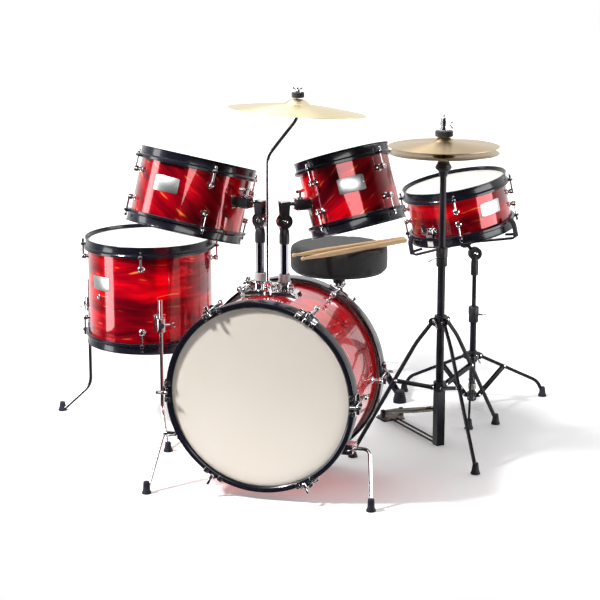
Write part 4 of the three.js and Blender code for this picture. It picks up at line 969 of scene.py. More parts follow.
def make_floor_leg(k, azimuth):
    spin = turn(azimuth)
    out, level = FLOOR_RADIUS + FLOOR_LEG["reach"], FLOOR_LEG["bracket"] - FLOOR_TOM.translation.z
    bracket = Piece(f"floor_tom_bracket_{k}", "floor_tom", FLOOR_TOM, "chrome")
    bracket.add(badge_shape(FLOOR_RADIUS, 30, 44, 1.8), CHROME, spin, move(z=level), unroll=unrolled)
    sleeve = lathe(both_ways([(10.4, 16), (9.6, 17), (4.9, 17)]), 28, closed=True)
    bracket.add(sleeve, CHROME, spin, move(out, 0, level))
    bracket.add(block((FLOOR_RADIUS - 1, -8, level - 13), (out - 5, 8, level + 13), 1.4), CHROME, spin)
    bracket.add(rod((out, 8, level), (out, 22, level), 3.2), CHROME, spin)
    bracket.add(wing(22, 12), CHROME, spin, aim((out, 21, level), Y), turn(20))
    pad = lathe([(0, 0), (6.6, 0), (6.6, 2.4), (5.2, 3.4), (0, 3.4)], 24)
    bracket.add(pad, RUBBER, spin, aim((out + 9.4, 0, level), X))
    bracket.finish(32)
    node = f"floor_tom_leg_{k}"
    leg = Piece(f"floor_tom_leg_rod_{k}", node, move(*FLOOR_TOM.translation.to_2d(), 0), "chrome", [node])
    knee = polar(out, azimuth, FLOOR_LEG["bend"])
    toe = polar(FLOOR_RADIUS + FLOOR_LEG["foot_reach"], azimuth, 0)
    path = [polar(out, azimuth, FLOOR_LEG["top"]), knee, toe.lerp(knee, 0.1)]
    leg.add(tube(path, FLOOR_LEG["radius"], 22, 18), CHROME)
    leg.add(lathe([(0, 0), (11, 0), (11.4, 1.2), (10.8, 4), (8.6, 9), (7.2, 18), (6.6, 22.6), (5.6, 23.4),
                   (0, 23.4)],
                  24), RUBBER, move(*toe))
    leg.finish()


for k, azimuth in enumerate(FLOOR_LEG["azimuths"], 1):
    make_floor_leg(k, azimuth)

vent = Piece("floor_tom_vent", "floor_tom", FLOOR_TOM)
vent_ring = lathe([(2.6, -1), (7.4, -1), (7.4, 0.4), (6.2, 1.6), (4.2, 1.8), (2.8, 1.0)], 28, closed=True)
for shape, material, lift in ((vent_ring, CHROME, 0.4), (washer(3.0, 0.8), RUBBER, -0.2)):
    spot = polar(FLOOR_RADIUS + lift, VENT["azimuth"], VENT["height"])
    vent.add(shape, material, aim(spot, polar(1, VENT["azimuth"])))
vent.finish()


# ---- folding stands ---------------------------------------------------------------------------------
def stand_axes(name):
    """A stand's axes: on the floor, at the middle of the circle through the pivots of its three legs."""
    a, b, c = (joint_at(f"{name}_leg_{k}_hinge").to_2d() for k in (1, 2, 3))
    across, along = b - a, c - a
    double = 2 * across.cross(along)
    middle = Vector((along.y * across.length_squared - across.y * along.length_squared,
                     across.x * along.length_squared - along.x * across.length_squared)) / double
    return move(a.x + middle.x, a.y + middle.y, 0)


def hinge_azimuth(joint):
    axis = joint_axis(joint)
    return math.degrees(math.atan2(-axis.x, axis.y))


def radial(joint, axes):
    """A hinge's distance from the stand's axis, and its height."""
    p = axes.inverted() @ joint_at(joint)
    return p.to_2d().length, p.z


LEG_BAR = 8.4
SHOE = {"radius": 11, "above_foot": 12}
STANDS = {
    "hihat": {"tube": 9.3, "collar": 15, "width": 7, "knee": (66, 260), "foot": (228, 14),
              "brace": (122, 175),
              "grip": 40},
    "snare": {"tube": 8.0, "collar": 12, "width": 6, "knee": (194, 44), "foot": (209, 13), "brace": (92, 95),
              "grip": 150},
}


def rubber_shoe(radius, height):
    """A moulded foot that stands flat on the floor, with a groove round its toe."""
    return lathe([(0, 0), (radius, 0), (radius + 0.4, 1.2), (radius - 0.2, 3.4), (radius - 1.0, 4.2),
                  (radius - 0.6, 5.4),
                  (radius - 2.0, 8.0), (radius * 0.66, height - 5), (radius * 0.6, height),
                  (radius * 0.5, height + 0.8), (0, height + 0.8)], 28)


def add_rivet(piece, r, z, half, *moves):
    """A bright rivet across a hinge, with a head on each side."""
    piece.add(rod((r, -half, z), (r, half, z), 2.2, sides=14), CHROME, *moves)
    head = lathe([(0, 0), (3.8, 0), (3.4, 1.2), (1.8, 1.9), (0, 2.1)], 16)
    for side in (-1, 1):
        piece.add(head, CHROME, *moves, aim((r, side * half, z), (0, side, 0)))


def make_stand(name, stand):
    """A stand's sliding collar, legs and braces. Gives its axes, where its braces hang, and its azimuths."""
    axes = stand_axes(name)
    half, c = stand["width"] / 2, stand["collar"]
    top, base = radial(f"{name}_leg_1_hinge", axes), radial(f"{name}_brace_1_hinge", axes)
    r, z = top
    azimuths = [hinge_azimuth(f"{name}_leg_{k}_hinge") for k in (1, 2, 3)]
    collar = Piece(name + "_sliding_collar", name + "_tripod_collar", axes, "black_steel",
                   [name + "_tripod_collar"])
    ring = both_ways([(c - 1.4, 7), (c, 8), (c, 13.4), (c - 0.6, 14), (stand["tube"] + 0.3, 14)])
    collar.add(lathe(ring, 36, closed=True), BLACK_PLASTIC, move(z=z))
    ear = [(c - 4, z - 9), (r, z - 9)] + arc(top, 8, -60, 60, 6) + [(r, z + 9), (c - 4, z + 9)]
    for azimuth in azimuths:
        for side in (-1, 1):
            collar.add(plate(ear, *beside(side, half + 0.3, half + 2.7), 0.5), STEEL, turn(azimuth))
        add_rivet(collar, r, z, half + 2.7, turn(azimuth))
    add_wing_screw(collar, c - 1, c + 13, 2.6, (24, 13), 25, turn(azimuths[2] + stand["grip"]), move(z=z))
    collar.finish(32)
    knee, foot, hold = stand["knee"], stand["foot"], stand["brace"]
    for k, azimuth in enumerate(azimuths, 1):
        spin = turn(azimuth)
        leg = Piece(f"{name}_leg_bar_{k}", f"{name}_leg_{k}", axes, "black_steel", [f"{name}_leg_{k}"])
        path = [(r, 0, z), (knee[0], 0, knee[1]), (foot[0], 0, foot[1] + 2)]
        leg.add(sweep(path, box_section(LEG_BAR, stand["width"], 1.0), bend=16), STEEL, spin)
        leg.add(rod((r, -half, z), (r, half, z), LEG_BAR / 2 + 0.4, sides=20), STEEL, spin)
        leg.add(rubber_shoe(SHOE["radius"], foot[1] + SHOE["above_foot"]), RUBBER, spin, move(foot[0] + 2))
        leg.finish(32)
        brace = Piece(f"{name}_brace_strap_{k}", f"{name}_brace_{k}", axes, "black_steel",
                      [f"{name}_brace_{k}"])
        run = Vector((hold[0] - base[0], 0, hold[1] - base[1]))
        tilt = aim((base[0], 0, base[1]), run)
        strap = [(z, x) for x, z in stadium(run.length, 4.6)]
        for side in (-1, 1):
            brace.add(plate(strap, *beside(side, half + 0.3, half + 2.3), 0.45), STEEL, spin, tilt)
        brace.add(block((-3.6, -half - 1, 15), (3.6, half + 1, 22), 0.5), STEEL, spin, tilt)
        add_rivet(brace, *hold, half + 2.3, spin)
        add_rivet(brace, *base, half + 2.3, spin)
        brace.finish(32)
    return axes, base, azimuths


def add_tabs(piece, c, base, half, azimuths):
    """The tabs that the braces hang from, round a fixed collar of radius c."""
    tab = [(c - 4, base[1] - 6), (base[0], base[1] - 6)] + arc(base, 6, -90, 90, 8) + [(c - 4, base[1] + 6)]
    for azimuth in azimuths:
        piece.add(plate(tab, -half, half, 0.4), STEEL, turn(azimuth))


def clamp_collar(radius, low, high, hole):
    """A moulded height clamp with a parting groove."""
    mid = (low + high) / 2
    return lathe([(hole, low), (radius - 1.6, low), (radius - 0.4, low + 2), (radius - 0.4, mid - 3),
                  (radius - 1.4, mid - 2), (radius - 1.4, mid - 1), (radius + 0.4, mid),
                  (radius + 0.4, high - 3),
                  (radius - 0.8, high - 0.6), (radius - 1.8, high), (hole, high)], 36, closed=True)


# ---- pedals: both have the same cast tread --------------------------------------------------------------
TREAD_HALF = 34


def make_footboard(name, body, place, heel, toe):
    """A cast footboard: a tapering tread with raised rims, ribs and a toe stop, along x from heel to toe."""
    run = Vector((toe[0] - heel[0], 0, toe[1] - heel[1]))
    length, wide = run.length, TREAD_HALF
    lie = move(heel[0], 0, heel[1]) @ turn(-math.degrees(math.atan2(run.z, run.x)), "Y")
    board = Piece(name, body, place, "pedal_plate", [body])
    outline = [(8, -wide * 0.70), (length * 0.45, -wide), (length * 0.8, -wide * 0.94)]
    outline += arc((length - 24, 0), 24, -62, 62, 10)
    outline += [(length * 0.8, wide * 0.94), (length * 0.45, wide), (8, wide * 0.70)]
    board.add(plate(outline, -3.2, 1.2, 0.9), PEDAL_METAL, lie, turn(90, "X"))
    for side in (-1, 1):
        rim = [(10, side * wide * 0.68, 1.6), (length * 0.45, side * (wide - 2), 2.2),
               (length * 0.8, side * (wide * 0.94 - 2), 2.2), (length - 16, side * wide * 0.5, 2.2)]
        board.add(tube(rim, 2.3, 20, 10), STEEL, lie)
    for k in range(6):
        x = length * (0.2 + 0.1 * k)
        w = wide * (0.52 + 0.06 * min(k, 3))
        board.add(tube([(x, -w, 3.0), (x + 7, 0, 3.6), (x, w, 3.0)], 1.5, 14, 10), PEDAL_METAL, lie)
    stop = [(length * 0.86, 0, 2.4), (length * 0.9, 0, 7.5), (length * 0.93, 0, 8.5)]
    board.add(sweep(stop, box_section(2.4, wide * 0.9, 0.6), bend=3), PEDAL_METAL, lie)
    board.add(block((length - 12, -9, 2.4), (length - 1, 9, 6.4), 1.0), STEEL, lie)
    for y in (-5, 5):
        board.add(dome(2.8, 2.0, 14), CHROME, lie, move(length - 6, y, 6.2))
    board.add(rod((0, -21, 0), (0, 21, 0), 5.5, sides=24), PEDAL_METAL, lie)
    board.add(block((-2, -20, -3.8), (16, 20, 1.8), 0.9), PEDAL_METAL, lie)
    board.finish(32)


# ---- hi-hat -----------------------------------------------------------------------------------------
HAT_STAND = {"channel": 10.5, "channel_top": 140, "bore": 4.2, "tube_top": 455, "clamp": (441, 487),
             "clamp_bore": 7.6,
             "upper": 7.5, "upper_low": 470, "upper_top": 662, "seat": 685, "screw_azimuth": 150, "rod": 3}
TOE = (HAT_STAND["channel"] + 4, 84)


def make_hat_stand(axes, base, azimuths, heelward, heel):
    """The hi-hat's fixed part: channel, tubes, cymbal seat and heel plate."""
    c, bore, (distance, lift) = HAT_STAND["channel"], HAT_STAND["bore"], heel
    tubes = Piece("hihat_stand_tubes", "hihat_stand", axes, "black_steel", ["hihat_stand"])
    section = [(-c, -c), (c, -c), (c, -c + 2.6), (-c + 2.6, -c + 2.6), (-c + 2.6, c - 2.6), (c, c - 2.6),
               (c, c), (-c, c)]
    tubes.add(plate(section, 0, HAT_STAND["channel_top"], 0.5), STEEL, heelward, turn(90, "X"))
    tubes.add(block((-c, -c, 0), (c, c, 3), 0.6), STEEL, heelward)
    out = STANDS["hihat"]["collar"]
    ring = both_ways([(out - 1.2, 5), (out, 6), (out, 11), (out - 0.8, 12), (0, 12)])
    tubes.add(lathe(ring, 36), BLACK_PLASTIC, move(z=base[1]))
    add_tabs(tubes, out, base, STANDS["hihat"]["width"] / 2 - 1.2, azimuths)
    tubes.add(pipe(bore, STANDS["hihat"]["tube"], base[1] - 8, HAT_STAND["tube_top"]), STEEL)
    tubes.add(clamp_collar(13.5, *HAT_STAND["clamp"], HAT_STAND["clamp_bore"]), BLACK_PLASTIC)
    tubes.add(pipe(bore, HAT_STAND["upper"], HAT_STAND["upper_low"], HAT_STAND["upper_top"], 32), STEEL)
    cup = [(bore, -30), (9, -30), (10, -25), (12, -17), (18.4, -11), (19.2, -9), (19.2, -6), (17.4, -4.6),
           (17.4, -2), (15, 0), (bore, 0)]
    tubes.add(lathe(cup, 40, closed=True), BLACK_PLASTIC, move(z=HAT_STAND["seat"]))
    tubes.add(washer(14.5, 4.9, bore, 1.0), BLACK_FELT, move(z=HAT_STAND["seat"]))
    add_wing_screw(tubes, 10, 24, 2.6, (24, 13), 60, move(z=HAT_STAND["tube_top"]),
                   turn(HAT_STAND["screw_azimuth"]))
    half = 30
    cheek = [(distance - 7, 8), (distance + 7, 8)] + arc(heel, 7, 0, 180, 8)
    for side in (-1, 1):
        y = side * (c - 2.5)
        tubes.add(tube([(c - 3, y, 5), (distance - 12, y, 5)], 2.6, sides=12), STEEL, heelward)
        tubes.add(plate(cheek, *beside(side, 22.5, half), 0.6), STEEL, heelward)
    tubes.add(block((distance - 14, -half, 0), (distance + 30, half, 3.6), 0.8), STEEL, heelward)
    ramp = [(distance - 14, 3), (distance + 29, 3), (distance + 27, 8), (distance - 14, 12)]
    tubes.add(plate(ramp, -half + 3, half - 3, 0.8), PEDAL_METAL, heelward)
    tubes.add(rod((distance, -half - 2, lift), (distance, half + 2, lift), 2.4), CHROME, heelward)
    for y in (-14, 0, 14):
        rib = rod((distance + 6, y - 6, 11.5), (distance + 24, y + 6, 10.0), 1.0, sides=10)
        tubes.add(rib, PEDAL_METAL, heelward)
    tubes.finish(32)


def make_pull_rod(axes, heelward):
    """The rod from the pedal's strap up through the hats, with the clutch that holds the top one."""
    bar = Piece("hihat_pull_rod_bar", "hihat_pull_rod", axes, "chrome", ["hihat_pull_rod"])
    hole, bell_top = HAT_STAND["rod"] + 0.1, HAT["upper_rim"] + HAT["bow"] + HAT["bell"]
    bar.add(rod((0, 0, 97), (0, 0, 801), HAT_STAND["rod"], chamfer=1), CHROME)
    bar.add(block((-1.6, -7, 70), (1.6, 7, 100), 0.6), BLACK_FELT, heelward)
    felt_pad = [(hole, 1.1), (18.4, 1.1), (21, 2.5), (21, 13.7), (19.4, 15.3), (hole, 15.3)]
    clutch = [(hole, 16.6), (8.4, 16.6), (9.4, 17.6), (9.4, 22), (7.4, 23), (7.4, 26), (9.6, 27), (9.6, 35),
              (8.6, 36.4), (hole, 36.4)]
    lock = [(hole, 36.4), (8.4, 37.4), (8.4, 44), (7.0, 45.4), (hole, 45.4)]
    for shape, material, z in (
            (washer(11.5, 6.5, hole, 1.0), BLACK_FELT, -12), (rod((0, 0, 0), (0, 0, 49), 5), CHROME, -15),
            (lathe(felt_pad, 40, closed=True), BLACK_FELT, 0), (washer(13, 1.4, hole), CHROME, 15.2),
            (lathe(clutch, 28, closed=True), CHROME, 0), (lathe(lock, 24, closed=True), CHROME, 0)):
        bar.add(shape, material, move(z=bell_top + z))
    screw = move(z=bell_top + 30) @ turn(-20)
    bar.add(rod((6, 0, 0), (17, 0, 0), 2.2), CHROME, screw)
    bar.add(wing(18, 10, 2.2), CHROME, screw, aim((14, 0, 0), X))
    bar.finish(32)


def make_hat(name, body, node, axes, *moves):
    cymbal = Piece(name, body, axes, "cymbal_bronze", [node])
    # The hi-hats take the darkened copy of the bronze, as painted shade.
    cymbal.add(cymbal_shape(HAT["radius"], HAT["bow"], HAT["bell"]), BRONZE_PAINTED_SHADE, *moves, unroll=ringed)
    cymbal.finish()


def make_hihat():
    axes, base, azimuths = make_stand("hihat", STANDS["hihat"])
    hinge = axes.inverted() @ joint_at("hihat_pedal")
    heelward, heel = turn(math.degrees(math.atan2(hinge.y, hinge.x))), (hinge.to_2d().length, hinge.z)
    make_hat_stand(axes, base, azimuths, heelward, heel)
    back_to_front = move(x=heel[0]) @ turn(180) @ move(x=-heel[0])
    make_footboard("hihat_tread", "hihat_footboard", axes @ heelward @ back_to_front, heel,
                   (2 * heel[0] - TOE[0], TOE[1]))
    make_pull_rod(axes, heelward)
    make_hat("hihat_bottom_bronze", "hihat_stand", "hihat_bottom_cymbal", axes, move(z=HAT["lower_rim"]),
             turn(180, "X"))
    make_hat("hihat_top_bronze", "hihat_top_cymbal", "hihat_top_cymbal", axes, move(z=HAT["upper_rim"]))


make_hihat()

# ---- snare stand ------------------------------------------------------------------------------------
SNARE_TUBE = {"bore": 5.8, "low": 12, "top": 232, "rod": 5.5, "collar": 25, "stop": 51, "clamp": (222, 264),
              "screw": 243}
SNARE_DRUM = PLACES["snare_drum"]
SNARE_UP = SNARE_DRUM.to_3x3() @ Z
TOOTHED = [(0, 0.3), (17, 0.3), (17, 7.4), (15.6, 8.8), (12, 8.8), (11, 7.4), (6.2, 7.4), (5.4, 10.2),
           (0, 10.2)]
BASKET = {"below": 26, "reach": 152, "grip": 24, "azimuths": (-140, -20, 100)}


def make_snare_tubes():
    axes, base, azimuths = make_stand("snare", STANDS["snare"])
    c, bore = STANDS["snare"]["collar"], SNARE_TUBE["bore"]
    lower = Piece("snare_stand_lower_tube", "snare_stand", axes, "black_steel", ["snare_stand_tube"])
    lower.add(pipe(bore, STANDS["snare"]["tube"], SNARE_TUBE["low"], SNARE_TUBE["top"], 32), STEEL)
    ring = lathe(both_ways([(c, 10), (c - 0.8, 11), (bore, 11)]), 36, closed=True)
    lower.add(ring, BLACK_PLASTIC, move(z=SNARE_TUBE["collar"]))
    add_tabs(lower, c, base, 1.8, azimuths)
    stop = lathe(both_ways([(11, 6), (10.6, 7), (bore, 7)]), 32, closed=True)
    lower.add(stop, WHITE_PLASTIC, move(z=SNARE_TUBE["stop"]))
    lower.add(clamp_collar(13, *SNARE_TUBE["clamp"], bore), BLACK_PLASTIC)
    add_wing_screw(lower, 10, 25, 2.8, (27, 15), 70, move(z=SNARE_TUBE["screw"]))
    lower.finish(32)

    height, axis = joint_at("snare_basket_tilt").z, joint_axis("snare_basket_tilt")
    upper = Piece("snare_stand_upper_tube", "snare_stand_rod", axes, "black_steel", ["snare_stand_rod"])
    upper.add(rod((0, 0, 64), (0, 0, height - 20), SNARE_TUBE["rod"], sides=28), STEEL)
    neck = [(0, -56), (8.6, -56), (9.6, -54.6), (9.6, -24), (8.4, -16), (6, -13), (0, -13)]
    upper.add(lathe(neck, 32), BLACK_PLASTIC, move(z=height))
    upper.add(lathe(TOOTHED, 40), BLACK_PLASTIC, aim((0, 0, height), axis))
    beside_disc = axis * 4.6 + Z * height
    upper.add(rod(beside_disc - Z * 28, beside_disc, 5.5), BLACK_PLASTIC)
    upper.add(dome(6, 3.4), CHROME, aim(axis * 10 + Z * height, axis))
    upper.finish(32)


def make_basket():
    bottom = SNARE_DRUM.translation - SNARE_UP * (DRUMS["snare_drum"]["depth"] / 2 + HOOP["rise"])
    side = (X - SNARE_UP * SNARE_UP.x).normalized()
    axes = Matrix.Translation(bottom) @ Matrix((side, SNARE_UP.cross(side), SNARE_UP)).transposed().to_4x4()
    knuckle = axes.inverted() @ joint_at("snare_basket_tilt")
    axis = axes.inverted().to_3x3() @ joint_axis("snare_basket_tilt")
    basket = Piece("snare_basket_arms", "snare_basket", axes, "black_steel", ["snare_basket"])
    hub = Vector((0, 0, -BASKET["below"]))
    boss = [(0, -12), (9, -12), (14, -8), (16, -3), (16, 4), (14, 7), (8, 9), (0, 9)]
    basket.add(lathe(boss, 36), BLACK_PLASTIC, move(*hub))
    basket.add(tube([knuckle - axis * 4.9, hub], 4.6, sides=16), BLACK_PLASTIC)
    basket.add(lathe(TOOTHED, 40), BLACK_PLASTIC, aim(knuckle, -axis))
    basket.add(rod(knuckle - axis * 10, knuckle - axis * 18, 3.2), CHROME)
    basket.add(wing(24, 13), CHROME, aim(knuckle - axis * 16, -axis))
    reach, lift = BASKET["reach"], BASKET["grip"]
    arm = [(8, 0, hub.z), (reach - 4, 0, hub.z + 8), (reach, 0, hub.z + 22), (reach, 0, lift - 2)]
    pad = [(reach + 1, 0, -14), (reach + 0.5, 0, lift - 6), (reach - 5, 0, lift + 4),
           (reach - 10, 0, lift + 5)]
    for azimuth in BASKET["azimuths"]:
        spin = turn(azimuth)
        basket.add(sweep(arm, box_section(5.0, 11, 1.2), bend=14), STEEL, spin)
        basket.add(sweep(pad, box_section(8.5, 15, 3.0), bend=9), RUBBER, spin)
        basket.add(sweep([(reach, 0, -8), (reach - 28, 0, -8)], box_section(5, 10, 1.4)), RUBBER, spin)
        add_rivet(basket, 26, hub.z + 1.4, 6.4, spin)
    basket.finish(32)


make_snare_tubes()
make_basket()

# ---- snare drum's throw-off and wires -----------------------------------------------------------------
WIRES = {"count": 12, "gap": 3.2, "reach": 84, "radius": 0.8}
STRAINER_HEIGHT = -28


def make_strainer():
    throw = SNARE_DRUM.inverted() @ joint_at("snare_throw_off")
    out, low, z = throw.to_2d().length, throw.z, STRAINER_HEIGHT
    spin = turn(math.degrees(math.atan2(throw.y, throw.x)))
    radius, half = DRUMS["snare_drum"]["radius"], DRUMS["snare_drum"]["depth"] / 2
    strainer = Piece("snare_strainer", "snare_drum", SNARE_DRUM, "chrome")
    strainer.add(badge_shape(radius, 52, 18, 1.6), CHROME, spin, move(z=z), unroll=unrolled)
    strainer.add(block((radius, -16, z - 8), (radius + 8, 16, z + 8), 1.4), CHROME, spin)
    for y in (-21, 21):
        strainer.add(dome(3.4, 2.4, 14), CHROME, spin, aim((radius + 0.6, y, z), X))
    for y in (-10, 0, 10):
        strainer.add(rod((radius + 7, y, z), (radius + 12, y, z), 3.2, sides=20), CHROME, spin)
    butt = spin @ turn(180)
    strainer.add(block((radius, -11, -24), (radius + 9, 11, 2), 1.4), CHROME, butt)
    for where in (spin, butt):
        strainer.add(block((radius + 2, -9, -70.5), (radius + 5, 9, -20), 0.5), WHITE_PLASTIC, where)
    for k in range(WIRES["count"]):
        y = (k - (WIRES["count"] - 1) / 2) * WIRES["gap"]
        start, end = (-WIRES["reach"], y, -half - 2.2), (WIRES["reach"], y, -half - 2.2)
        strainer.add(rod(start, end, WIRES["radius"], sides=8, chamfer=0.1), CHROME, spin)
    for x in (-WIRES["reach"] - 4, WIRES["reach"]):
        strainer.add(block((x, -20, -half - 3.4), (x + 4, 20, -half - 1.2), 0.4), CHROME, spin)
    strainer.finish(32)
    lever = Piece("snare_throw_off_handle", "snare_throw_off_lever", SNARE_DRUM, "chrome",
                  ["snare_throw_off_lever"])
    lever.add(rod((out, -11, low), (out, 11, low), 3.2), CHROME, spin)
    path = [(out, 0, low), (out + 1, 0, low + 14), (out + 4, 0, low + 26)]
    lever.add(sweep(path, box_section(3, 10, 1.0), bend=8), CHROME, spin)
    lever.finish(32)


make_strainer()

# ---- throne -----------------------------------------------------------------------------------------
seat_joint = joint_at("throne_seat_spin")
THRONE_AXES = move(seat_joint.x, seat_joint.y, 0)
THRONE = {"radius": 132, "top": 384, "thick": 72, "leg_reach": 250, "azimuths": (-35, 85, 205), "tube": 14,
          "bore": 11.3,
          "post": 11, "low": 96, "screw": 218}
SEAT_LOW = THRONE["top"] - THRONE["thick"]


def make_throne_base():
    bore, low = THRONE["bore"], THRONE["low"]
    base = Piece("throne_tripod", "throne_base", THRONE_AXES, "black_steel", ["throne_base"])
    base.add(pipe(bore, THRONE["tube"], low, 232), STEEL)
    base.add(clamp_collar(19, 200, 236, bore), BLACK_PLASTIC)
    base.add(pipe(bore, 18, low, low + 22), BLACK_PLASTIC)
    add_wing_screw(base, 17, 34, 3.2, (32, 16, 3), 0, turn(30), move(z=THRONE["screw"]))
    reach = THRONE["leg_reach"]
    ribs = [(0, 0), (17, 0), (17.6, 1.6)]
    for k in range(5):
        r, z = 17.2 - 1.15 * k, 3 + 5.6 * k
        ribs += [(r - 2.6, z), (r - 2.6, z + 2.0), (r + 0.2, z + 3.0), (r, z + 4.8)]
    ribs += [(9.6, 32), (8.6, 33.4), (0, 33.4)]
    for azimuth in THRONE["azimuths"]:
        spin = turn(azimuth)
        base.add(sweep([(16, 0, 214), (60, 0, 178), (reach - 2, 0, 16)], channel_section(11, 15), bend=20),
                 STEEL, spin)
        base.add(sweep([(12, 0, 106), (132, 0, 112)], box_section(9, 3.2, 0.5)), STEEL, spin)
        add_rivet(base, 130, 112, 8.4, spin)
        add_rivet(base, 22, 208, 8.4, spin)
        base.add(lathe(ribs, 32), RUBBER, spin, move(x=reach - 4))
    base.finish(32)


def make_throne_post():
    post = Piece("throne_post_tube", "throne_post", THRONE_AXES, "black_steel", ["throne_post"])
    post.add(rod((0, 0, 120), (0, 0, SEAT_LOW - 4), THRONE["post"], sides=32), CHROME)
    flange = [(10, -34), (16, -34), (16, -8), (58, -6), (60, -4.6), (60, -0.4), (10, -0.4)]
    post.add(lathe(flange, 40, closed=True), STEEL, move(z=SEAT_LOW))
    for k in range(4):
        post.add(dome(3.6, 2, 14), CHROME, turn(45 + 90 * k), aim((48, 0, SEAT_LOW - 5.4), -Z))
    post.finish(32)


make_throne_base()
make_throne_post()

# ---- sticks -----------------------------------------------------------------------------------------
STICK = {"length": 372, "radius": 7.0, "tip": 5.2}


def make_stick(name, start, azimuth):
    tip, r, length = STICK["tip"], STICK["radius"], STICK["length"]
    bead = [(0, 0), (tip * 0.55, 0.8), (tip * 0.9, 3.4), (tip, 6.4), (tip * 0.88, 9.6), (tip * 0.62, 12.2)]
    taper = [(tip * 0.62 + (r - tip * 0.62) * (k / 8) ** 0.8, 14 + 84 * k / 8) for k in range(1, 9)]
    butt = [(r, length - 6), (r * 0.93, length - 2.2), (r * 0.7, length - 0.4), (0, length)]
    stick = Piece(name + "_turned", "drumsticks", KIT @ move(*start, THRONE["top"] + r + 0.7), "stick_wood",
                  [name])
    stick.add(lathe(bead + taper + butt, 32), MAPLE, turn(azimuth), turn(90, "Y"), unroll=unrolled)
    stick.finish()


make_stick("drumstick_1", (-138, 752), 52.0)
make_stick("drumstick_2", (-104, 716), 56.8)

# ---- bass drum pedal --------------------------------------------------------------------------------
PEDAL = {"front": 292, "side": 38, "beater": 128, "tilt": 35}
PEDAL_HEEL = KIT.inverted() @ joint_at("bass_pedal")


def make_pedal_frame():
    pedal = Piece("bass_pedal_casting", "bass_drum", KIT, "black_steel", ["bass_pedal_frame"])
    heel, side, front, ay, az = PEDAL_HEEL.y, PEDAL["side"], PEDAL["front"], PEDAL_AXLE.y, PEDAL_AXLE.z
    pedal.add(block((-side - 4, front + 6, 0), (side + 4, ay + 24, 6), 1.2), STEEL)
    upright = [(ay - 14, 4), (ay + 16, 4), (ay + 9, az - 20)] + arc((ay, az), 12, -20, 200,
                                                                    12) + [(ay - 9, az - 20)]
    for s in (-1, 1):
        pedal.add(plate(upright, s * side - 4, s * side + 4, 1.0), STEEL, turn(90))
        pedal.add(tube([(s * 26, ay + 20, 4.4), (s * 26, heel - 8, 4.4)], 2.8, sides=12), STEEL)
        low, high = beside(s, 26, 34)
        pedal.add(block((low, heel - 6, 6), (high, heel + 6, 28), 1.4), STEEL)
        pedal.add(rod((s * (side + 4), ay + 2, az - 4), (s * (side + 9), ay + 2, az - 4), 5), CHROME)
    pedal.add(tube([(side + 9, ay + 2, az - 4), (side + 9, ay + 2, 30)], 4.2, sides=16), CHROME)
    pedal.add(block((-34, heel - 14, 0), (34, heel + 40, 4), 1.0), STEEL)
    heel_plate = [(-32, heel + 8), (32, heel + 8), (30, heel + 38), (-30, heel + 38)]
    pedal.add(plate(heel_plate, -11, -3.4, 1.2), PEDAL_METAL, turn(-90, "X"))
    pedal.add(rod((-36, heel, PEDAL_HEEL.z), (36, heel, PEDAL_HEEL.z), 2.6), CHROME)
    pedal.add(block((-18, front - 24, 0), (18, front + 8, 5), 1.0), STEEL)
    pedal.add(block((-16, front + 0.4, 3), (16, front + 10, 40), 1.2), STEEL)
    pedal.add(rod((0, front + 8, 32), (0, front + 22, 32), 3), CHROME)
    pedal.add(wing(24, 12), CHROME, aim((0, front + 20, 32), Y))
    pedal.finish(32)


def make_beater():
    axle, tilt = PEDAL_AXLE, math.radians(PEDAL["tilt"])
    upward = Vector((0, math.sin(tilt), math.cos(tilt)))
    forward = Vector((0, -math.cos(tilt), math.sin(tilt)))
    head = axle + upward * PEDAL["beater"]
    beater = Piece("bass_pedal_beater_shaft", "bass_pedal_beater", KIT, "black_steel", ["bass_pedal_beater"])
    beater.add(rod(axle - X * 44, axle + X * 44, 4.2, sides=24), CHROME)
    beater.add(rod(axle - X * 14, axle + X * 14, 11, sides=32), STEEL)
    beater.add(washer(16, 5, 4.3, 0.8, 36), STEEL, aim(axle - X * 12, X))
    beater.add(rod(axle + upward * 4, head, 3, sides=20), CHROME)
    mushroom = [(0, -17), (9, -17), (10.5, -15), (10.5, -4), (21, -2), (22, 0), (22, 15), (20, 18),
                (14, 19.4), (0, 20)]
    beater.add(lathe(mushroom, 40), WHITE_FELT, aim(head, forward))
    beater.add(square_head(9, 9), CHROME, aim(axle + upward * 10, upward), move(z=-2))
    beater.finish(32)
    strap = Piece("bass_pedal_strap", "bass_pedal_footboard", KIT)
    top, low = axle + Vector((0, 10, -2)), Vector((0, axle.y + 21, 82))
    path = [low, low.lerp(top, 0.45) + Vector((0, 1.5, 0))]
    strap.add(sweep(path, box_section(1.8, 16, 0.5), side=X), BLACK_FELT)
    strap.finish()


make_pedal_frame()
make_footboard("bass_pedal_tread", "bass_pedal_footboard", KIT @ move(0, PEDAL_HEEL.y, 0) @ turn(-90),
               (0, PEDAL_HEEL.z), (PEDAL_HEEL.y - PEDAL_AXLE.y - 22, 78))
make_beater()

# ---- seat -------------------------------------------------------------------------------------------
SEAT = {"voxel": 0.006, "pressure": 1.5, "steps": 14, "cap": 0.003}


def seat_blank():
    """The seat before it is stuffed: a round pad a little smaller than the finished cushion."""
    r, top = THRONE["radius"], THRONE["top"]
    return lathe([(0, SEAT_LOW + 1.4), (r - 12, SEAT_LOW + 1.4), (r - 4, SEAT_LOW + 3),
                  (r - 2.4, SEAT_LOW + 7),
                  (r - 2, top - 12), (r - 3.6, top - 6), (r - 9, top - 2.4), (r - 30, top - 1.8),
                  (0, top - 1.6)], 96)


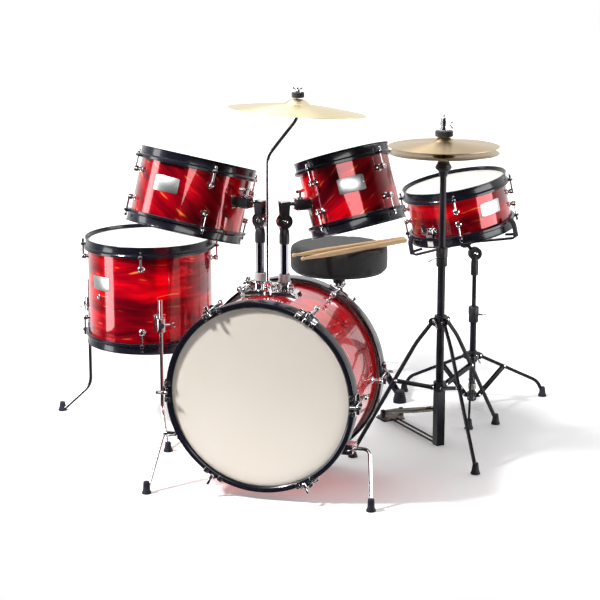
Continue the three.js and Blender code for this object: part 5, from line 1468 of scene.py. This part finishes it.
def apply_modifiers(piece):
    """Replaces the mesh by what its modifiers make of it."""
    graph = bpy.context.evaluated_depsgraph_get()
    made = bpy.data.meshes.new_from_object(piece.evaluated_get(graph))
    piece.modifiers.clear()
    piece.data = made


def stuff(piece):
    """Blows the pad up a little as cloth, and keeps each point near where it started."""
    remesh = piece.modifiers.new("remesh", "REMESH")
    remesh.mode = "VOXEL"
    remesh.voxel_size = SEAT["voxel"]
    apply_modifiers(piece)
    rest = [v.co.copy() for v in piece.data.vertices]
    cloth = piece.modifiers.new("cloth", "CLOTH")
    cloth.settings.use_pressure = True
    cloth.settings.uniform_pressure_force = SEAT["pressure"]
    cloth.settings.effector_weights.gravity = 0
    scene = bpy.context.scene
    for step in range(1, SEAT["steps"] + 1):
        scene.frame_set(step)
    apply_modifiers(piece)
    scene.frame_set(1)
    lowest, highest = (SEAT_LOW + 0.8) / METRE, (THRONE["top"] - 0.4) / METRE
    for v, start in zip(piece.data.vertices, rest):
        shift = v.co - start
        if shift.length > SEAT["cap"]:
            v.co = start + shift.normalized() * SEAT["cap"]
        v.co.z = min(max(v.co.z, lowest), highest)


seat = Piece("throne_cushion", "throne_seat", THRONE_AXES, "seat_vinyl", ["throne_seat"])
seat.add(seat_blank(), VINYL)
seat = seat.finish()
stuff(seat)
smooth = seat.modifiers.new("smooth", "SUBSURF")
smooth.levels = smooth.render_levels = 1
apply_modifiers(seat)
seat.data.shade_smooth()

board = Piece("throne_seat_board", "throne_seat", THRONE_AXES)
board.add(washer(THRONE["radius"] - 12, 2.4, 0, 0.6, 64), BLACK_PLASTIC, move(z=SEAT_LOW - 0.2))
board.finish()

# ---- camera, floor and light ------------------------------------------------------------------------
CAMERA = {"at": (1101, -3583, 1330), "lens": 107.7, "pitch": 0.230, "yaw": 0.274}
FLOOR = {"front": -1.0, "back": 12.0, "side": 5.0, "lit": 0.5, "edge": 1.4, "glow": 0.18}
scene = bpy.context.scene


def make_camera():
    data = bpy.data.cameras.new("camera")
    data.lens, data.sensor_width = CAMERA["lens"], 36.0
    camera = bpy.data.objects.new("camera", data)
    camera.location = (KIT @ Vector(CAMERA["at"])) / METRE
    camera.rotation_euler = (math.pi / 2 - CAMERA["pitch"], 0, CAMERA["yaw"])
    scene.collection.objects.link(camera)
    scene.camera = camera
    scene.view_settings.view_transform = "Standard"


def make_floor():
    look = Look("floor_white", Base_Color=(0.93, 0.93, 0.94), Roughness=0.6, Specular_IOR_Level=0.2,
                Emission_Color=(1, 1, 1))
    # Painted light: the floor glows, dimly near the kit, which lightens the shadows there, and fully white
    # further out.
    distance = look.node("VectorMath", {0: look.coords()}, operation="LENGTH").outputs["Value"]
    glow = look.node("MapRange", {"Value": distance, "From Min": FLOOR["lit"], "From Max": FLOOR["edge"],
                                  "To Min": FLOOR["glow"], "To Max": 1.0})
    look.drive("Emission Strength", glow.outputs["Result"])
    mesh = bpy.data.meshes.new("floor")
    near, far, side = FLOOR["front"], FLOOR["back"], FLOOR["side"]
    mesh.from_pydata([(-side, near, 0), (side, near, 0), (side, far, 0), (-side, far, 0)], [], [[0, 1, 2, 3]])
    mesh.materials.append(look.material)
    floor = bpy.data.objects.new("floor", mesh)
    scene.collection.objects.link(floor)
    floor.visible_glossy = False


def softbox(name, at, target, size, radiance, seen=True, lit=True):
    """A rectangular area light aimed at a point. radiance is its brightness against white. seen says whether
    it is mirrored, and lit whether it also lights matt surfaces."""
    light = bpy.data.lights.new(name, "AREA")
    light.shape, light.size, light.size_y = "RECTANGLE", size[0], size[1]
    light.energy = radiance * math.pi * size[0] * size[1]
    lamp = bpy.data.objects.new(name, light)
    lamp.location = at
    lamp.rotation_euler = (Vector(target) - Vector(at)).to_track_quat("-Z", "Y").to_euler()
    lamp.visible_glossy = seen
    lamp.visible_diffuse = lit
    lamp.visible_camera = False
    scene.collection.objects.link(lamp)


def make_studio():
    """A world that is white to the camera."""
    world = bpy.data.worlds.new("studio")
    scene.world = world
    world.use_nodes = True
    nodes, links = world.node_tree.nodes, world.node_tree.links
    split, ramp = nodes.new("ShaderNodeSeparateXYZ"), nodes.new("ShaderNodeMapRange")
    links.new(nodes.new("ShaderNodeTexCoord").outputs["Generated"], split.inputs[0])
    links.new(split.outputs["Y"], ramp.inputs["Value"])
    for key, value in {"From Min": -0.1, "From Max": 0.55, "To Min": 0.03, "To Max": 1.0}.items():
        ramp.inputs[key].default_value = value
    pick = nodes.new("ShaderNodeMapRange")
    links.new(nodes.new("ShaderNodeLightPath").outputs["Is Camera Ray"], pick.inputs["Value"])
    links.new(ramp.outputs["Result"], pick.inputs["To Min"])
    pick.inputs["To Max"].default_value = 1.0
    nodes["Background"].inputs["Color"].default_value = (1, 1, 1, 1)
    links.new(pick.outputs["Result"], nodes["Background"].inputs["Strength"])


make_camera()
make_floor()
softbox("left strip", (-1.42, -0.80, 0.62), (-0.25, -0.36, 0.62), (0.44, 1.3), 7.0, lit=False)
softbox("front panel", (0.78, -2.42, 1.32), (0.27, -0.44, 0.68), (1.6, 0.6), 6.0, lit=False)
softbox("right panel", (2.03, -0.12, 0.42), (0.46, 0.18, 0.5), (1.3, 0.8), 6.0, lit=False)
softbox("key", (-1.6, -1.58, 2.36), (0.1, -0.6, 0.23), (0.32, 0.32), 345.0)
softbox("overhead", (-0.4, 0.4, 2.6), (0, 0.2, 0.3), (2.0, 1.4), 1.8)
softbox("front fill", (0.9, -3.4, 2.0), (0, 0, 0.3), (2.6, 2.0), 0.25, seen=False)
make_studio()
